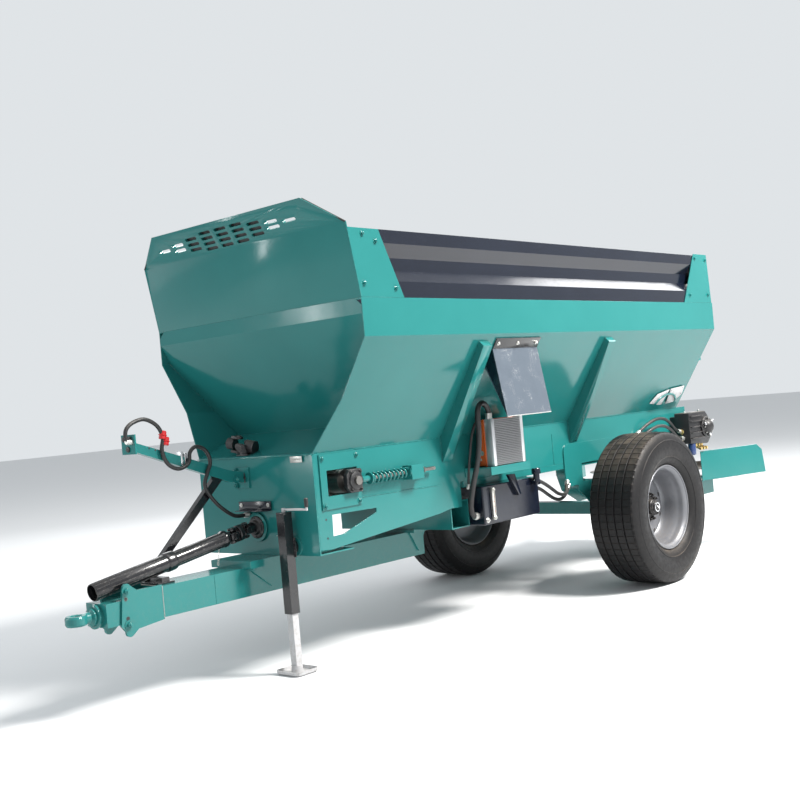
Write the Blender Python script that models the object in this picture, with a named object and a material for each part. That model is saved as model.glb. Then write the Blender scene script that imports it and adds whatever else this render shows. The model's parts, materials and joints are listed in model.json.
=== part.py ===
"""Towed single-axle hopper manure spreader, standing on its parking jack.

Metres, +Z up, ground at Z = 0. +X points forward to the tow eye, +Y to the machine's left.
Every length below is measured from the axle; the empty `machine` shifts the whole spreader so
that the origin lies under the middle of its bounding box.
"""

import math

import bmesh
import bpy
from mathutils import Matrix, Vector

for old in list(bpy.data.objects):
    bpy.data.objects.remove(old, do_unlink=True)

# --- driving dimensions -------------------------------------------------------------------
GAP = 0.0003             # between pieces that touch
RUNNING = 0.006          # between pieces that move past each other

REACH_FRONT = 4.170      # axle to the tip of the tow eye
REACH_REAR = 1.970       # axle to the ends of the rear deflectors

TYRE_RADIUS = 0.536
TYRE_WIDTH = 0.389
TRACK = 1.754            # wheel centre to wheel centre
RIM_RADIUS = 0.2985
RIM_WIDTH = 0.310
TYRE_WALL = 0.022
WHEEL_STEPS = 36

HOPPER_FRONT = 2.808
HOPPER_REAR = -1.261
HOPPER_HALF = 0.883      # half width at the rim
RIM_Z = 2.006
SIDE_BEND_Z = RIM_Z - 0.208  # where the upright side band turns inwards
FRONT_BEND_Z = RIM_Z - 0.085
WALL = 0.006
RIM_FLANGE = 0.040
LEDGE_BACK_X = 2.510     # where the sloping front wall meets the ledge
LEDGE_BACK_Z = 1.322
WING_KINK_Z = 1.486      # below this the side wall's front edge leans forward

TROUGH_HALF = 0.490
TROUGH_WALL = 0.008
TROUGH_TOP = 1.195
TROUGH_BOTTOM = 0.905
TROUGH_REAR = -1.400
FRONT_FACE = 2.893       # outer face of the upright front plate
FRONT_BOTTOM = 0.637
FRONT_THICK = 0.008

SKIRT_REAR = 1.632       # the deep front part of the trough side
SKIRT_REAR_Z = 0.747
SKIRT_FRONT_Z = 0.660

SHAFT_Z = 1.020
IDLER_X = 2.609
DRIVE_X = -1.275
SHAFT_RADIUS = 0.025
DRUM_RADIUS = 0.066
CHAIN_THICK = 0.010
SLAT_HEIGHT = 0.022
SLAT_LENGTH = 0.040
SLAT_COUNT = 12          # on each run
CONVEYOR_HALF = 0.430
BED_THICK = 0.006

LADDER_THICK = 0.040
LADDER_REAR = -1.360
LADDER_FRONT = 1.600
LADDER_RAIL = 0.050
LADDER_BAYS = 5

RIB_WIDTH = 0.090
RIB_XS = (1.745, 0.315)  # middle of each rib
RIB_TOP_Z = 1.725
RIB_TOP_Y = HOPPER_HALF + 0.003
RIB_BOTTOM_Z = 1.046
RIB_SHEET = 0.005

BOARD_TOP = RIM_Z + 0.369
BOARD_SHEET = 0.003
BOARD_DEPTH = 0.040
BOARD_FRONT = 2.795
BOARD_REAR = -1.225

HOOD_BASE_X = 2.806
HOOD_CREASE_X = 2.876
HOOD_CREASE_Z = RIM_Z + 0.396
HOOD_TOP_X = 2.958
HOOD_TOP_Z = RIM_Z + 0.559
HOOD_TOP_HALF = 0.653
HOOD_SHEET = 0.004

BEAM_HALF = 0.100
BEAM_BOTTOM = 0.437
BEAM_TOP = 0.598
BEAM_WALL = 0.010
BEAM_REAR = 1.580
BEAM_FRONT = 3.662
PAD_THICK = 0.018

CLEVIS_PLATE = 0.016
CLEVIS_FRONT = 3.925
HEAD_FRONT = 4.020
EYE_Z = 0.503
EYE_THICK = 0.050
EYE_RADIUS = 0.055
EYE_HOLE = 0.026

PTO_PIVOT_X = 2.965
PTO_PIVOT_Z = 0.795
PTO_TIP_X = 4.012
PTO_TIP_Z = 0.622
PTO_TUBE_RADIUS = 0.045

ARM_Y = -0.098
ARM_HALF = 0.020
ARM_TIP_X = 3.650
ARM_TIP_Z = 1.335
ARM_BASE_Z = 1.085
ARM_HEIGHT = 0.062
STRUT_TOP_X = 3.085
STRUT_FOOT_X = 3.622

JACK_X = 2.962
JACK_Y = 0.300
JACK_PIVOT_Z = 0.690
JACK_TUBE = 0.030        # half the width of the square outer tube
JACK_UP = 0.195          # pivot to the top of the tube
JACK_DOWN = 0.360        # pivot to the foot of the tube
JACK_LEG = 0.022
FOOT_HALF_X = 0.085      # half sizes of the jack's pressed foot
FOOT_HALF_Y = 0.095
JACK_TRAVEL = 0.255      # how far the leg is wound out when it stands
CRANK_REACH = 0.200

AXLE_HALF = 0.045
AXLE_SPAN = 0.660
SPINDLE_RADIUS = 0.030
HANGER_THICK = 0.010
HANGER_TOP = 1.036
HANGER_HALF_TOP = 0.460
HANGER_HALF_FOOT = 0.150
STRAP_FOOT = 0.735       # lower end of the hanger's two straps

TANK_FRONT = 1.555
TANK_REAR = 0.950
TANK_OUT = 0.600
TANK_IN = 0.290
TANK_BOTTOM = 0.618

COOLER_FRONT = 1.535
COOLER_REAR = 1.200
COOLER_OUT = 0.700
COOLER_IN = 0.575
COOLER_BOTTOM = 0.985
COOLER_TOP = 1.283
CORE_DEPTH = 0.060

SHIELD_FRONT = 1.630
SHIELD_REAR = 1.165
SHIELD_TOP = 1.710
SHIELD_FOOT_Y = HOPPER_HALF + 0.017
SHIELD_FOOT_Z = 1.290
SHIELD_SHEET = 0.004

DECK_Z = 0.575
DECK_THICK = 0.008
DECK_FRONT = -1.150
DECK_REAR = -1.840
DECK_HALF = 0.610
DISC_X = -1.625
DISC_Y = 0.300
DISC_Z = 0.660
DISC_RADIUS = 0.270
DISC_THICK = 0.006
VANE_HEIGHT = 0.055
VANE_COUNT = 4

WING_FRONT_X = -1.300    # rear side deflectors
WING_FRONT_Y = 0.646
WING_REAR_Y = 0.887
WING_BOTTOM = 0.585
WING_TOP = 0.822
WING_SHEET = 0.005

GATE_HALF = 0.450
GATE_THICK = 0.006
GATE_BOTTOM = 1.135
GATE_TOP = 1.430
GATE_OPENING_TOP = 1.385
GATE_TRAVEL = 0.230
GATE_FIT = 0.0008        # gate edge to its guide

AXLE_X = (REACH_REAR - REACH_FRONT) / 2
TYRE_Z = TYRE_RADIUS

# --- materials -----------------------------------------------------------------------------


def material(name, color, roughness, metallic=0.0):
    made = bpy.data.materials.new(name)
    made.use_nodes = True
    shader = made.node_tree.nodes["Principled BSDF"]
    shader.inputs["Base Color"].default_value = (*color, 1.0)
    shader.inputs["Roughness"].default_value = roughness
    shader.inputs["Metallic"].default_value = metallic
    made.diffuse_color = (*color, 1.0)
    return made


TEAL = material("teal_paint", (0.030, 0.230, 0.205), 0.30)
NAVY = material("navy_steel", (0.030, 0.036, 0.060), 0.40, 0.3)
SHIELD = material("shield_steel", (0.160, 0.175, 0.210), 0.45, 0.6)
BLACK = material("black_paint", (0.012, 0.012, 0.014), 0.40)
STEEL = material("bare_steel", (0.300, 0.300, 0.310), 0.35, 0.9)
SILVER = material("silver_paint", (0.520, 0.530, 0.550), 0.38, 0.4)
WHITE = material("white_paint", (0.720, 0.730, 0.750), 0.45)
RUBBER = material("tyre_rubber", (0.022, 0.022, 0.024), 0.80)
HOSE = material("hose_rubber", (0.014, 0.014, 0.015), 0.55)
ORANGE = material("orange_shroud", (0.700, 0.170, 0.020), 0.45)

machine = bpy.data.objects.new("machine", None)
machine.location = (AXLE_X, 0.0, 0.0)
bpy.context.scene.collection.objects.link(machine)

# --- mesh helpers --------------------------------------------------------------------------


def new_object(bm, name, finish, origin=(0.0, 0.0, 0.0), sharp=35.0):
    """The bmesh as an object whose own origin lies at `origin`, measured from the axle."""
    bmesh.ops.remove_doubles(bm, verts=bm.verts, dist=0.00001)
    bmesh.ops.recalc_face_normals(bm, faces=bm.faces)
    bmesh.ops.translate(bm, verts=bm.verts, vec=-Vector(origin))
    mesh = bpy.data.meshes.new(name)
    bm.to_mesh(mesh)
    bm.free()
    mesh.materials.append(finish)
    mesh.shade_smooth()
    mesh.set_sharp_from_angle(angle=math.radians(sharp))
    made = bpy.data.objects.new(name, mesh)
    made.parent = machine
    made.location = origin
    bpy.context.scene.collection.objects.link(made)
    return made


def add_box(bm, low, high):
    low, high = Vector(low), Vector(high)
    size = Matrix.Diagonal((*(high - low), 1.0))
    bmesh.ops.create_cube(bm, size=1.0, matrix=Matrix.Translation((low + high) / 2) @ size)
    return bm


def add_rod(bm, start, end, radius, steps=16, end_radius=None):
    start, end = Vector(start), Vector(end)
    turn = (end - start).to_track_quat("Z", "Y").to_matrix().to_4x4()
    bmesh.ops.create_cone(
        bm, cap_ends=True, segments=steps, radius1=radius,
        radius2=radius if end_radius is None else end_radius,
        depth=(end - start).length, matrix=Matrix.Translation((start + end) / 2) @ turn,
    )
    return bm


def add_turned(bm, profile, centre, axis, steps, ring=False):
    """Spins (radius, along) points about `axis` through `centre`; a ring's profile is closed."""
    axis = Vector(axis).normalized()
    side = axis.orthogonal().normalized()
    points = [bm.verts.new(Vector(centre) + side * radius + axis * along) for radius, along in profile]
    pairs = list(zip(points, points[1:] + points[:1] if ring else points[1:]))
    edges = [bm.edges.new(pair) for pair in pairs]
    bmesh.ops.spin(
        bm, geom=points + edges, cent=centre, axis=axis, angle=math.tau, steps=steps, use_merge=True
    )
    bmesh.ops.remove_doubles(bm, verts=bm.verts, dist=0.00002)
    return bm


def add_prism(bm, outline, low, high, axis="Y", holes=()):
    """Extrudes an outline along an axis. Points are (x, z) for Y, (y, z) for X, (x, y) for Z."""
    place = {
        "X": lambda a, b, t: (t, a, b),
        "Y": lambda a, b, t: (a, t, b),
        "Z": lambda a, b, t: (a, b, t),
    }[axis]
    work = bmesh.new()
    edges = []
    for loop in (outline, *holes):
        corners = [work.verts.new(place(a, b, low)) for a, b in loop]
        edges += [work.edges.new(pair) for pair in zip(corners, corners[1:] + corners[:1])]
    bmesh.ops.triangle_fill(work, use_beauty=True, use_dissolve=False, edges=edges)
    flat = work.faces[:]
    copied = bmesh.ops.duplicate(work, geom=work.verts[:] + work.edges[:] + flat)["vert_map"]
    top = {vert: copied[vert] for edge in edges for vert in edge.verts}
    for edge in edges:
        first, second = edge.verts
        work.faces.new((first, second, top[second], top[first]))
    bmesh.ops.translate(work, verts=list({copied[v] for face in flat for v in face.verts}),
                        vec=place(0.0, 0.0, high - low))
    bmesh.ops.recalc_face_normals(work, faces=work.faces)
    copy_into(bm, work)
    return bm


def copy_into(bm, work):
    spare = bpy.data.meshes.new("spare")
    work.to_mesh(spare)
    work.free()
    bm.from_mesh(spare)
    bpy.data.meshes.remove(spare)


def sheet(name, rows, thickness, finish, origin=(0.0, 0.0, 0.0)):
    """A folded sheet: each row is a line of points, neighbouring rows are joined by faces, and
    the points lie on the middle of the sheet."""
    bm = bmesh.new()
    lines = [[bm.verts.new(point) for point in row] for row in rows]
    for line, following in zip(lines, lines[1:]):
        for i in range(len(line) - 1):
            bm.faces.new((line[i], line[i + 1], following[i + 1], following[i]))
    return thicken(new_object(bm, name, finish, origin), thickness)


def thicken(made, thickness):
    """Gives an open surface its thickness, half of it to either side."""
    shell = made.modifiers.new("Thickness", "SOLIDIFY")
    shell.solidify_mode = "NON_MANIFOLD"
    shell.nonmanifold_thickness_mode = "CONSTRAINTS"
    shell.nonmanifold_boundary_mode = "NONE"
    shell.thickness = thickness
    shell.offset = 0.0
    return made


def join(base, *tools):
    """Boolean union of the base object with each tool, which stays hidden."""
    for tool in tools:
        tool.hide_render = True
        tool.display_type = "WIRE"
        union = base.modifiers.new(tool.name, "BOOLEAN")
        union.operation = "UNION"
        union.solver = "EXACT"
        union.object = tool
    return base


def circle_points(centre, radius, steps, start=0.0):
    turn = math.tau / steps
    return [
        (centre[0] + radius * math.cos(start + turn * i), centre[1] + radius * math.sin(start + turn * i))
        for i in range(steps)
    ]


SIDES = (("left", 1.0), ("right", -1.0))

# --- hopper --------------------------------------------------------------------------------
SIDE_SLOPE = (HOPPER_HALF - TROUGH_HALF) / (SIDE_BEND_Z - TROUGH_TOP)
SIDE_COS = 1 / math.hypot(1.0, SIDE_SLOPE)
INNER_BEND_Z = SIDE_BEND_Z + WALL * (1 / SIDE_COS - 1) / SIDE_SLOPE


def side_outer(z):
    """Half width of the hopper's outer surface at a height."""
    return HOPPER_HALF - max(0.0, SIDE_BEND_Z - z) * SIDE_SLOPE


def side_inner(z):
    """Half width of the hopper's inner surface at a height."""
    slanted = HOPPER_HALF - (SIDE_BEND_Z - z) * SIDE_SLOPE - WALL / SIDE_COS
    return min(HOPPER_HALF - WALL, slanted)


def hopper_side(tag, sign):
    middle = WALL / 2
    slant = middle / SIDE_COS
    bend_z = SIDE_BEND_Z + (slant - middle) / SIDE_SLOPE
    foot_z = TROUGH_TOP + GAP + middle * SIDE_SLOPE * SIDE_COS
    stations = (
        (HOPPER_HALF - RIM_FLANGE, RIM_Z - middle, HOPPER_FRONT),
        (HOPPER_HALF - middle, RIM_Z - middle, HOPPER_FRONT),
        (HOPPER_HALF - middle, bend_z, HOPPER_FRONT),
        (side_outer(WING_KINK_Z) - slant, WING_KINK_Z, HOPPER_FRONT),
        (side_outer(foot_z) - slant, foot_z, FRONT_FACE - 0.004),
    )
    rear = HOPPER_REAR
    rows = [[(rear, sign * y, z), (front, sign * y, z)] for y, z, front in stations]
    return sheet(f"hopper_side_{tag}", rows, WALL, TEAL)


def hopper_front_wall():
    middle = WALL / 2
    band_x = HOPPER_FRONT - middle
    slope = (LEDGE_BACK_X - band_x) / (FRONT_BEND_Z - LEDGE_BACK_Z)
    bend_x = band_x + slope * (FRONT_BEND_Z - INNER_BEND_Z)
    foot_z = TROUGH_TOP + 0.005
    inside = HOPPER_HALF - RIM_FLANGE - GAP
    slack = GAP * 2 + middle * SIDE_SLOPE
    stations = (
        (HOPPER_FRONT - RIM_FLANGE, RIM_Z - middle, inside),
        (band_x, RIM_Z - middle, inside),
        (band_x, RIM_Z - WALL - 0.003, inside),
        (band_x, RIM_Z - RIM_FLANGE, side_inner(RIM_Z) - GAP),
        (band_x, FRONT_BEND_Z, side_inner(RIM_Z) - GAP),
        (bend_x, INNER_BEND_Z, side_inner(INNER_BEND_Z) - slack),
        (LEDGE_BACK_X, LEDGE_BACK_Z, side_inner(LEDGE_BACK_Z) - slack),
        (FRONT_FACE - 0.004, foot_z, side_inner(foot_z) - slack),
    )
    rows = [[(x, -half, z), (x, half, z)] for x, z, half in stations]
    return sheet("hopper_front_wall", rows, WALL, TEAL)


def hopper_rear_wall():
    top = RIM_Z - WALL - GAP
    inside = HOPPER_HALF - RIM_FLANGE - GAP
    opening = GATE_HALF - 0.010
    foot = TROUGH_TOP + 0.010
    half = [(inside, RIM_Z), (inside, top)]
    half += [(side_inner(z) - 0.001, z) for z in (top, INNER_BEND_Z, foot)]
    half += [(opening, foot), (opening, GATE_OPENING_TOP)]
    outline = half + [(-y, z) for y, z in reversed(half)]
    bm = add_prism(bmesh.new(), outline, HOPPER_REAR, HOPPER_REAR + WALL, axis="X")
    wall = new_object(bm, "hopper_rear_wall", TEAL)
    return join(wall, *[gate_guide(tag, sign) for tag, sign in SIDES])


HOOD_FOOT_Z = RIM_Z + GAP + HOOD_SHEET / 2
HOOD_LEAN = (HOOD_CREASE_X - HOOD_BASE_X) / (HOOD_CREASE_Z - HOOD_FOOT_Z)


def hood_back(z):
    """X just behind the hood's rear face at a height below its crease."""
    return HOOD_BASE_X + (z - HOOD_FOOT_Z) * HOOD_LEAN - HOOD_SHEET / 2 - 0.0006


def front_hood():
    """Leaning front board with a foot flange between the corner brackets."""
    inside = HOPPER_HALF - 0.012
    bm = bmesh.new()
    lines = []
    for x, z, half, near in (
        (HOOD_BASE_X, HOOD_FOOT_Z, HOPPER_HALF, inside),
        (HOOD_CREASE_X, HOOD_CREASE_Z, HOPPER_HALF, inside),
        (HOOD_TOP_X, HOOD_TOP_Z, HOOD_TOP_HALF, HOOD_TOP_HALF - 0.012),
    ):
        lines.append([bm.verts.new((x, y, z)) for y in (-half, -near, near, half)])
    for line, following in zip(lines, lines[1:]):
        for i in range(3):
            bm.faces.new((line[i], line[i + 1], following[i + 1], following[i]))
    back = [bm.verts.new((HOOD_BASE_X - 0.045, y, HOOD_FOOT_Z)) for y in (-inside, inside)]
    bm.faces.new((lines[0][1], lines[0][2], back[1], back[0]))
    return thicken(new_object(bm, "front_hood", TEAL), HOOD_SHEET)


def board_section(outer):
    """Points of a corrugated extension board, (distance out, height), foot to top."""
    inner = outer - BOARD_DEPTH
    foot = RIM_Z + GAP + BOARD_SHEET / 2
    return (
        (outer - 0.022, foot), (outer, foot), (outer, RIM_Z + 0.090), (inner, RIM_Z + 0.151),
        (inner, RIM_Z + 0.224), (outer, RIM_Z + 0.297), (outer, BOARD_TOP), (outer - 0.022, BOARD_TOP),
    )


def extension_board(tag, sign):
    outer = HOPPER_HALF - 0.006 - GAP * 2 - BOARD_SHEET / 2
    rows = [
        [(BOARD_REAR, sign * y, z), (BOARD_FRONT - 0.075, sign * y, z)]
        for y, z in board_section(outer)
    ]
    return sheet(f"extension_board_{tag}", rows, BOARD_SHEET, NAVY)


def rear_board():
    outer = -HOPPER_REAR - BOARD_SHEET / 2
    half = HOPPER_HALF - BOARD_DEPTH - 0.016
    rows = [[(-x, -half, z), (-x, half, z)] for x, z in board_section(outer)]
    return sheet("extension_board_rear", rows, BOARD_SHEET, NAVY)


def corner_bracket(name, sign, outline):
    plate = 0.006
    bm = add_prism(bmesh.new(), outline, sign * (HOPPER_HALF - plate), sign * HOPPER_HALF)
    return new_object(bm, name, TEAL)


def corner_brackets():
    foot = RIM_Z + GAP
    front = [
        (2.462, foot), (hood_back(foot) - 0.001, foot), (hood_back(BOARD_TOP), BOARD_TOP), (2.631, BOARD_TOP)
    ]
    rear = [(-1.250, foot), (-0.803, foot), (-1.012, BOARD_TOP + 0.012), (-1.225, BOARD_TOP + 0.012)]
    for tag, sign in SIDES:
        corner_bracket(f"corner_bracket_front_{tag}", sign, front)
        corner_bracket(f"corner_bracket_rear_{tag}", sign, rear)


def side_rib(name, sign, x):
    """Box gusset: two cheeks, a slanting face and a small cap, open towards the hopper wall."""
    half = RIB_WIDTH / 2 - RIB_SHEET / 2
    out = TROUGH_HALF + GAP + RIB_SHEET / 2
    cap_z = RIB_TOP_Z + 0.030
    bend_z = TROUGH_TOP + 0.004
    inner = ((side_outer(bend_z) + GAP * 2, bend_z), (side_outer(cap_z) + GAP + 0.0008, cap_z))
    outer = ((out, RIB_BOTTOM_Z), (RIB_TOP_Y - RIB_SHEET / 2, RIB_TOP_Z))
    bm = bmesh.new()
    corners = {}
    for side in (-1, 1):
        for key, (y, z) in zip(("bend", "cap", "foot", "top"), (*inner, *outer)):
            corners[side, key] = bm.verts.new((x + side * half, sign * y, z))
    for side in (-1, 1):
        bm.faces.new([corners[side, key] for key in ("bend", "cap", "top", "foot")])
    for first, second in (("cap", "top"), ("top", "foot")):
        bm.faces.new((corners[-1, first], corners[1, first], corners[1, second], corners[-1, second]))
    return thicken(new_object(bm, name, TEAL), RIB_SHEET)


# --- trough and conveyor -------------------------------------------------------------------
WINDOW_REAR = 2.560
WINDOW_FRONT = 2.800
WINDOW_LOW = 0.952
WINDOW_HIGH = 1.095
SIDE_PLATE_FRONT = FRONT_FACE - FRONT_THICK - GAP


def trough_side(tag, sign):
    inner = TROUGH_HALF - TROUGH_WALL
    front = SIDE_PLATE_FRONT
    outline = [
        (front, FRONT_BOTTOM + 0.030), (2.800, SKIRT_FRONT_Z), (SKIRT_REAR + 0.220, 0.734),
        (SKIRT_REAR + 0.110, 0.750), (SKIRT_REAR, SKIRT_REAR_Z), (SKIRT_REAR, TROUGH_BOTTOM),
        (TROUGH_REAR, TROUGH_BOTTOM), (TROUGH_REAR, TROUGH_TOP), (front, TROUGH_TOP),
    ]
    window = [
        (WINDOW_REAR, WINDOW_LOW), (WINDOW_FRONT, WINDOW_LOW),
        (WINDOW_FRONT, WINDOW_HIGH), (WINDOW_REAR, WINDOW_HIGH),
    ]
    slot = [(2.776, 0.849), (2.417, 0.842), (2.420, 0.817), (2.702, 0.732), (2.780, 0.730)]
    drive = circle_points((DRIVE_X, SHAFT_Z), SHAFT_RADIUS + GAP * 4, 16)
    bm = add_prism(
        bmesh.new(), outline, sign * inner, sign * TROUGH_HALF, holes=(window, slot, drive)
    )
    side = new_object(bm, f"trough_side_{tag}", TEAL)
    return join(side, tensioner_bracket(tag, sign))


def front_plate():
    """Upright front face with the floor of the front box folded back under it."""
    middle = FRONT_THICK / 2
    half = TROUGH_HALF
    back = 2.620
    foot = FRONT_BOTTOM + middle
    bm = bmesh.new()
    add_box(bm, (FRONT_FACE - FRONT_THICK, -half, FRONT_BOTTOM), (FRONT_FACE, half, TROUGH_TOP - 0.003))
    plate = new_object(bm, "front_plate", TEAL)
    floor = add_box(
        bmesh.new(), (back, -half + 0.0085, FRONT_BOTTOM),
        (FRONT_FACE - middle, half - 0.0085, foot + middle),
    )
    return join(plate, new_object(floor, "front_floor", TEAL), jack_stub())


def conveyor_loop():
    """One fixed loop of chain and slats round both drums, as a closed ring."""
    steps = 12
    reach = DRUM_RADIUS + CHAIN_THICK
    inner, outer = [], []
    for centre, start in ((IDLER_X, -math.pi / 2), (DRIVE_X, math.pi / 2)):
        for i in range(steps + 1):
            angle = start + math.pi * i / steps
            inner.append((centre + DRUM_RADIUS * math.cos(angle), SHAFT_Z + DRUM_RADIUS * math.sin(angle)))
            outer.append((centre + reach * math.cos(angle), SHAFT_Z + reach * math.sin(angle)))
        side = 1.0 if start < 0 else -1.0
        pitch = (IDLER_X - DRIVE_X) / SLAT_COUNT
        for i in range(SLAT_COUNT):
            middle = centre - side * pitch * (i + 0.5)
            low = SHAFT_Z + side * reach
            for across, up in ((1, 0), (1, 1), (-1, 1), (-1, 0)):
                outer.append((middle + side * across * SLAT_LENGTH / 2, low + side * up * SLAT_HEIGHT))
    bm = add_prism(bmesh.new(), outer, -CONVEYOR_HALF, CONVEYOR_HALF, holes=(inner,))
    return new_object(bm, "conveyor_loop", STEEL)


def bed_plate():
    top = SHAFT_Z + DRUM_RADIUS - GAP
    half = TROUGH_HALF - TROUGH_WALL - GAP
    bm = add_box(
        bmesh.new(), (DRIVE_X + DRUM_RADIUS + 0.02, -half, top - BED_THICK),
        (IDLER_X - DRUM_RADIUS - 0.02, half, top),
    )
    return new_object(bm, "bed_plate", TEAL)


def trough_frame():
    """Ladder of rails and cross members under the trough."""
    top = TROUGH_BOTTOM - GAP
    half = TROUGH_HALF
    inside = half - LADDER_RAIL
    outline = [(LADDER_REAR, -half), (LADDER_FRONT, -half), (LADDER_FRONT, half), (LADDER_REAR, half)]
    bay = (LADDER_FRONT - LADDER_REAR - LADDER_RAIL) / LADDER_BAYS
    holes = []
    for i in range(LADDER_BAYS):
        start = LADDER_REAR + LADDER_RAIL + bay * i
        end = start + bay - LADDER_RAIL
        holes.append([(start, -inside), (end, -inside), (end, inside), (start, inside)])
    bm = add_prism(bmesh.new(), outline, top - LADDER_THICK, top, axis="Z", holes=holes)
    return new_object(bm, "trough_frame", TEAL)


def conveyor_shaft(name, x, reach_out, finish=STEEL):
    """Drum between the trough sides with a thinner shaft through them."""
    drum = DRUM_RADIUS - GAP
    half = CONVEYOR_HALF + 0.020
    end = reach_out
    profile = (
        (0.0, -end), (SHAFT_RADIUS, -end), (SHAFT_RADIUS, -half), (drum, -half),
        (drum, half), (SHAFT_RADIUS, half), (SHAFT_RADIUS, end), (0.0, end),
    )
    bm = add_turned(bmesh.new(), profile, (x, 0.0, SHAFT_Z), (0.0, 1.0, 0.0), 24)
    return new_object(bm, name, finish)


TENSIONER_THICK = 0.008
BRACKET_REAR = 2.051
BRACKET_FRONT = 2.161
ROD_RADIUS = 0.011
SPRING_RADIUS = 0.026
SPRING_FRONT = 2.485
ROD_END = 1.912
BEARING_HALF = 0.068
BEARING_WIDE = 0.055
ROD_OUT = 0.035          # screw axis, out from the trough side


def tensioner_plate(tag, sign):
    """Bolted plate with the bearing's window."""
    low = TROUGH_HALF + GAP
    outline = [(2.535, 0.880), (2.850, 0.880), (2.850, 1.186), (2.535, 1.186)]
    window = [
        (WINDOW_REAR, WINDOW_LOW), (WINDOW_FRONT, WINDOW_LOW),
        (WINDOW_FRONT, WINDOW_HIGH), (WINDOW_REAR, WINDOW_HIGH),
    ]
    bm = add_prism(
        bmesh.new(), outline, sign * low, sign * (low + TENSIONER_THICK), holes=(window,)
    )
    return new_object(bm, f"tensioner_plate_{tag}", TEAL)


def tensioner_screw(tag, sign):
    """Bearing block, screw, spring and end nut in one line."""
    axis_y = sign * (TROUGH_HALF + ROD_OUT)
    block_low = TROUGH_HALF + TENSIONER_THICK + GAP * 2
    block = add_prism(
        bmesh.new(),
        [(IDLER_X - BEARING_WIDE, SHAFT_Z - BEARING_HALF), (IDLER_X + 0.045, SHAFT_Z - BEARING_HALF),
         (IDLER_X + 0.070, SHAFT_Z - 0.030), (IDLER_X + 0.070, SHAFT_Z + 0.030),
         (IDLER_X + 0.045, SHAFT_Z + BEARING_HALF), (IDLER_X - BEARING_WIDE, SHAFT_Z + BEARING_HALF)],
        sign * block_low, sign * (block_low + 0.045),
        holes=(circle_points((IDLER_X, SHAFT_Z), SHAFT_RADIUS + GAP * 3, 24),),
    )
    made = new_object(block, f"tensioner_screw_{tag}", STEEL)
    start = IDLER_X - BEARING_WIDE + 0.004
    profile = (
        (0.0, start), (0.018, start), (0.018, SPRING_FRONT), (SPRING_RADIUS, SPRING_FRONT),
        (SPRING_RADIUS, BRACKET_FRONT + GAP),
        (ROD_RADIUS, BRACKET_FRONT + GAP), (ROD_RADIUS, BRACKET_REAR - GAP),
        (0.022, BRACKET_REAR - GAP), (0.022, BRACKET_REAR - 0.030), (ROD_RADIUS, BRACKET_REAR - 0.030),
        (ROD_RADIUS, ROD_END), (0.0, ROD_END),
    )
    rod = add_turned(bmesh.new(), profile, (0.0, axis_y, SHAFT_Z), (1.0, 0.0, 0.0), 12)
    return join(made, new_object(rod, f"tensioner_rod_{tag}", STEEL))


def tensioner_bracket(tag, sign):
    """Box on the trough side that the screw passes through."""
    low = TROUGH_HALF - 0.001
    axis_y = TROUGH_HALF + ROD_OUT
    outline = [(low, 0.975), (low + 0.071, 0.975), (low + 0.071, 1.060), (low, 1.060)]
    outline = [(sign * y, z) for y, z in outline]
    hole = circle_points((sign * axis_y, SHAFT_Z), ROD_RADIUS + GAP * 3, 12)
    bm = add_prism(bmesh.new(), outline, BRACKET_REAR, BRACKET_FRONT, axis="X", holes=(hole,))
    return new_object(bm, f"tensioner_bracket_{tag}", TEAL)


# --- drawbar and coupling ------------------------------------------------------------------


def drawbar_beam():
    outer = [
        (-BEAM_HALF, BEAM_BOTTOM), (BEAM_HALF, BEAM_BOTTOM), (BEAM_HALF, BEAM_TOP), (-BEAM_HALF, BEAM_TOP)
    ]
    w = BEAM_WALL
    inner = [
        (-BEAM_HALF + w, BEAM_BOTTOM + w), (BEAM_HALF - w, BEAM_BOTTOM + w),
        (BEAM_HALF - w, BEAM_TOP - w), (-BEAM_HALF + w, BEAM_TOP - w),
    ]
    bm = add_prism(bmesh.new(), outer, BEAM_REAR, BEAM_FRONT, axis="X", holes=(inner,))
    beam = new_object(bm, "drawbar_beam", TEAL)
    front = beam_pad("front_beam_pad", 3.120, 2.730, FRONT_BOTTOM - GAP)
    rear = beam_pad("rear_beam_pad", 1.750, 1.545, BEAM_TOP + PAD_THICK)
    return join(beam, *front, *rear)


def beam_pad(name, front, rear, top):
    """Plate between the beam and the frame above, with a triangular gusset on each side."""
    bm = add_box(bmesh.new(), (rear, -0.170, BEAM_TOP - 0.002), (front, 0.170, top))
    made = [new_object(bm, name, TEAL)]
    middle = (front + rear) / 2
    half = (front - rear) / 2 - 0.020
    for tag, sign in SIDES:
        low = sign * (BEAM_HALF - 0.002)
        outline = [
            (middle - half, BEAM_TOP + 0.004), (middle + half, BEAM_TOP + 0.004),
            (middle, BEAM_BOTTOM + 0.030),
        ]
        gusset = add_prism(bmesh.new(), outline, low, low + sign * 0.014)
        made.append(new_object(gusset, f"{name}_gusset_{tag}", TEAL))
    return made


def rear_cross_member():
    half = TROUGH_HALF - TROUGH_WALL - GAP
    low = BEAM_TOP + PAD_THICK + GAP
    outline = [(1.560, low), (1.740, low), (1.740, 0.790), (1.560, 0.790)]
    w = 0.008
    hollow = [(1.560 + w, low + w), (1.740 - w, low + w), (1.740 - w, 0.790 - w), (1.560 + w, 0.790 - w)]
    bm = add_prism(bmesh.new(), outline, -half, half, holes=(hollow,))
    return new_object(bm, "rear_cross_member", TEAL)


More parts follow.
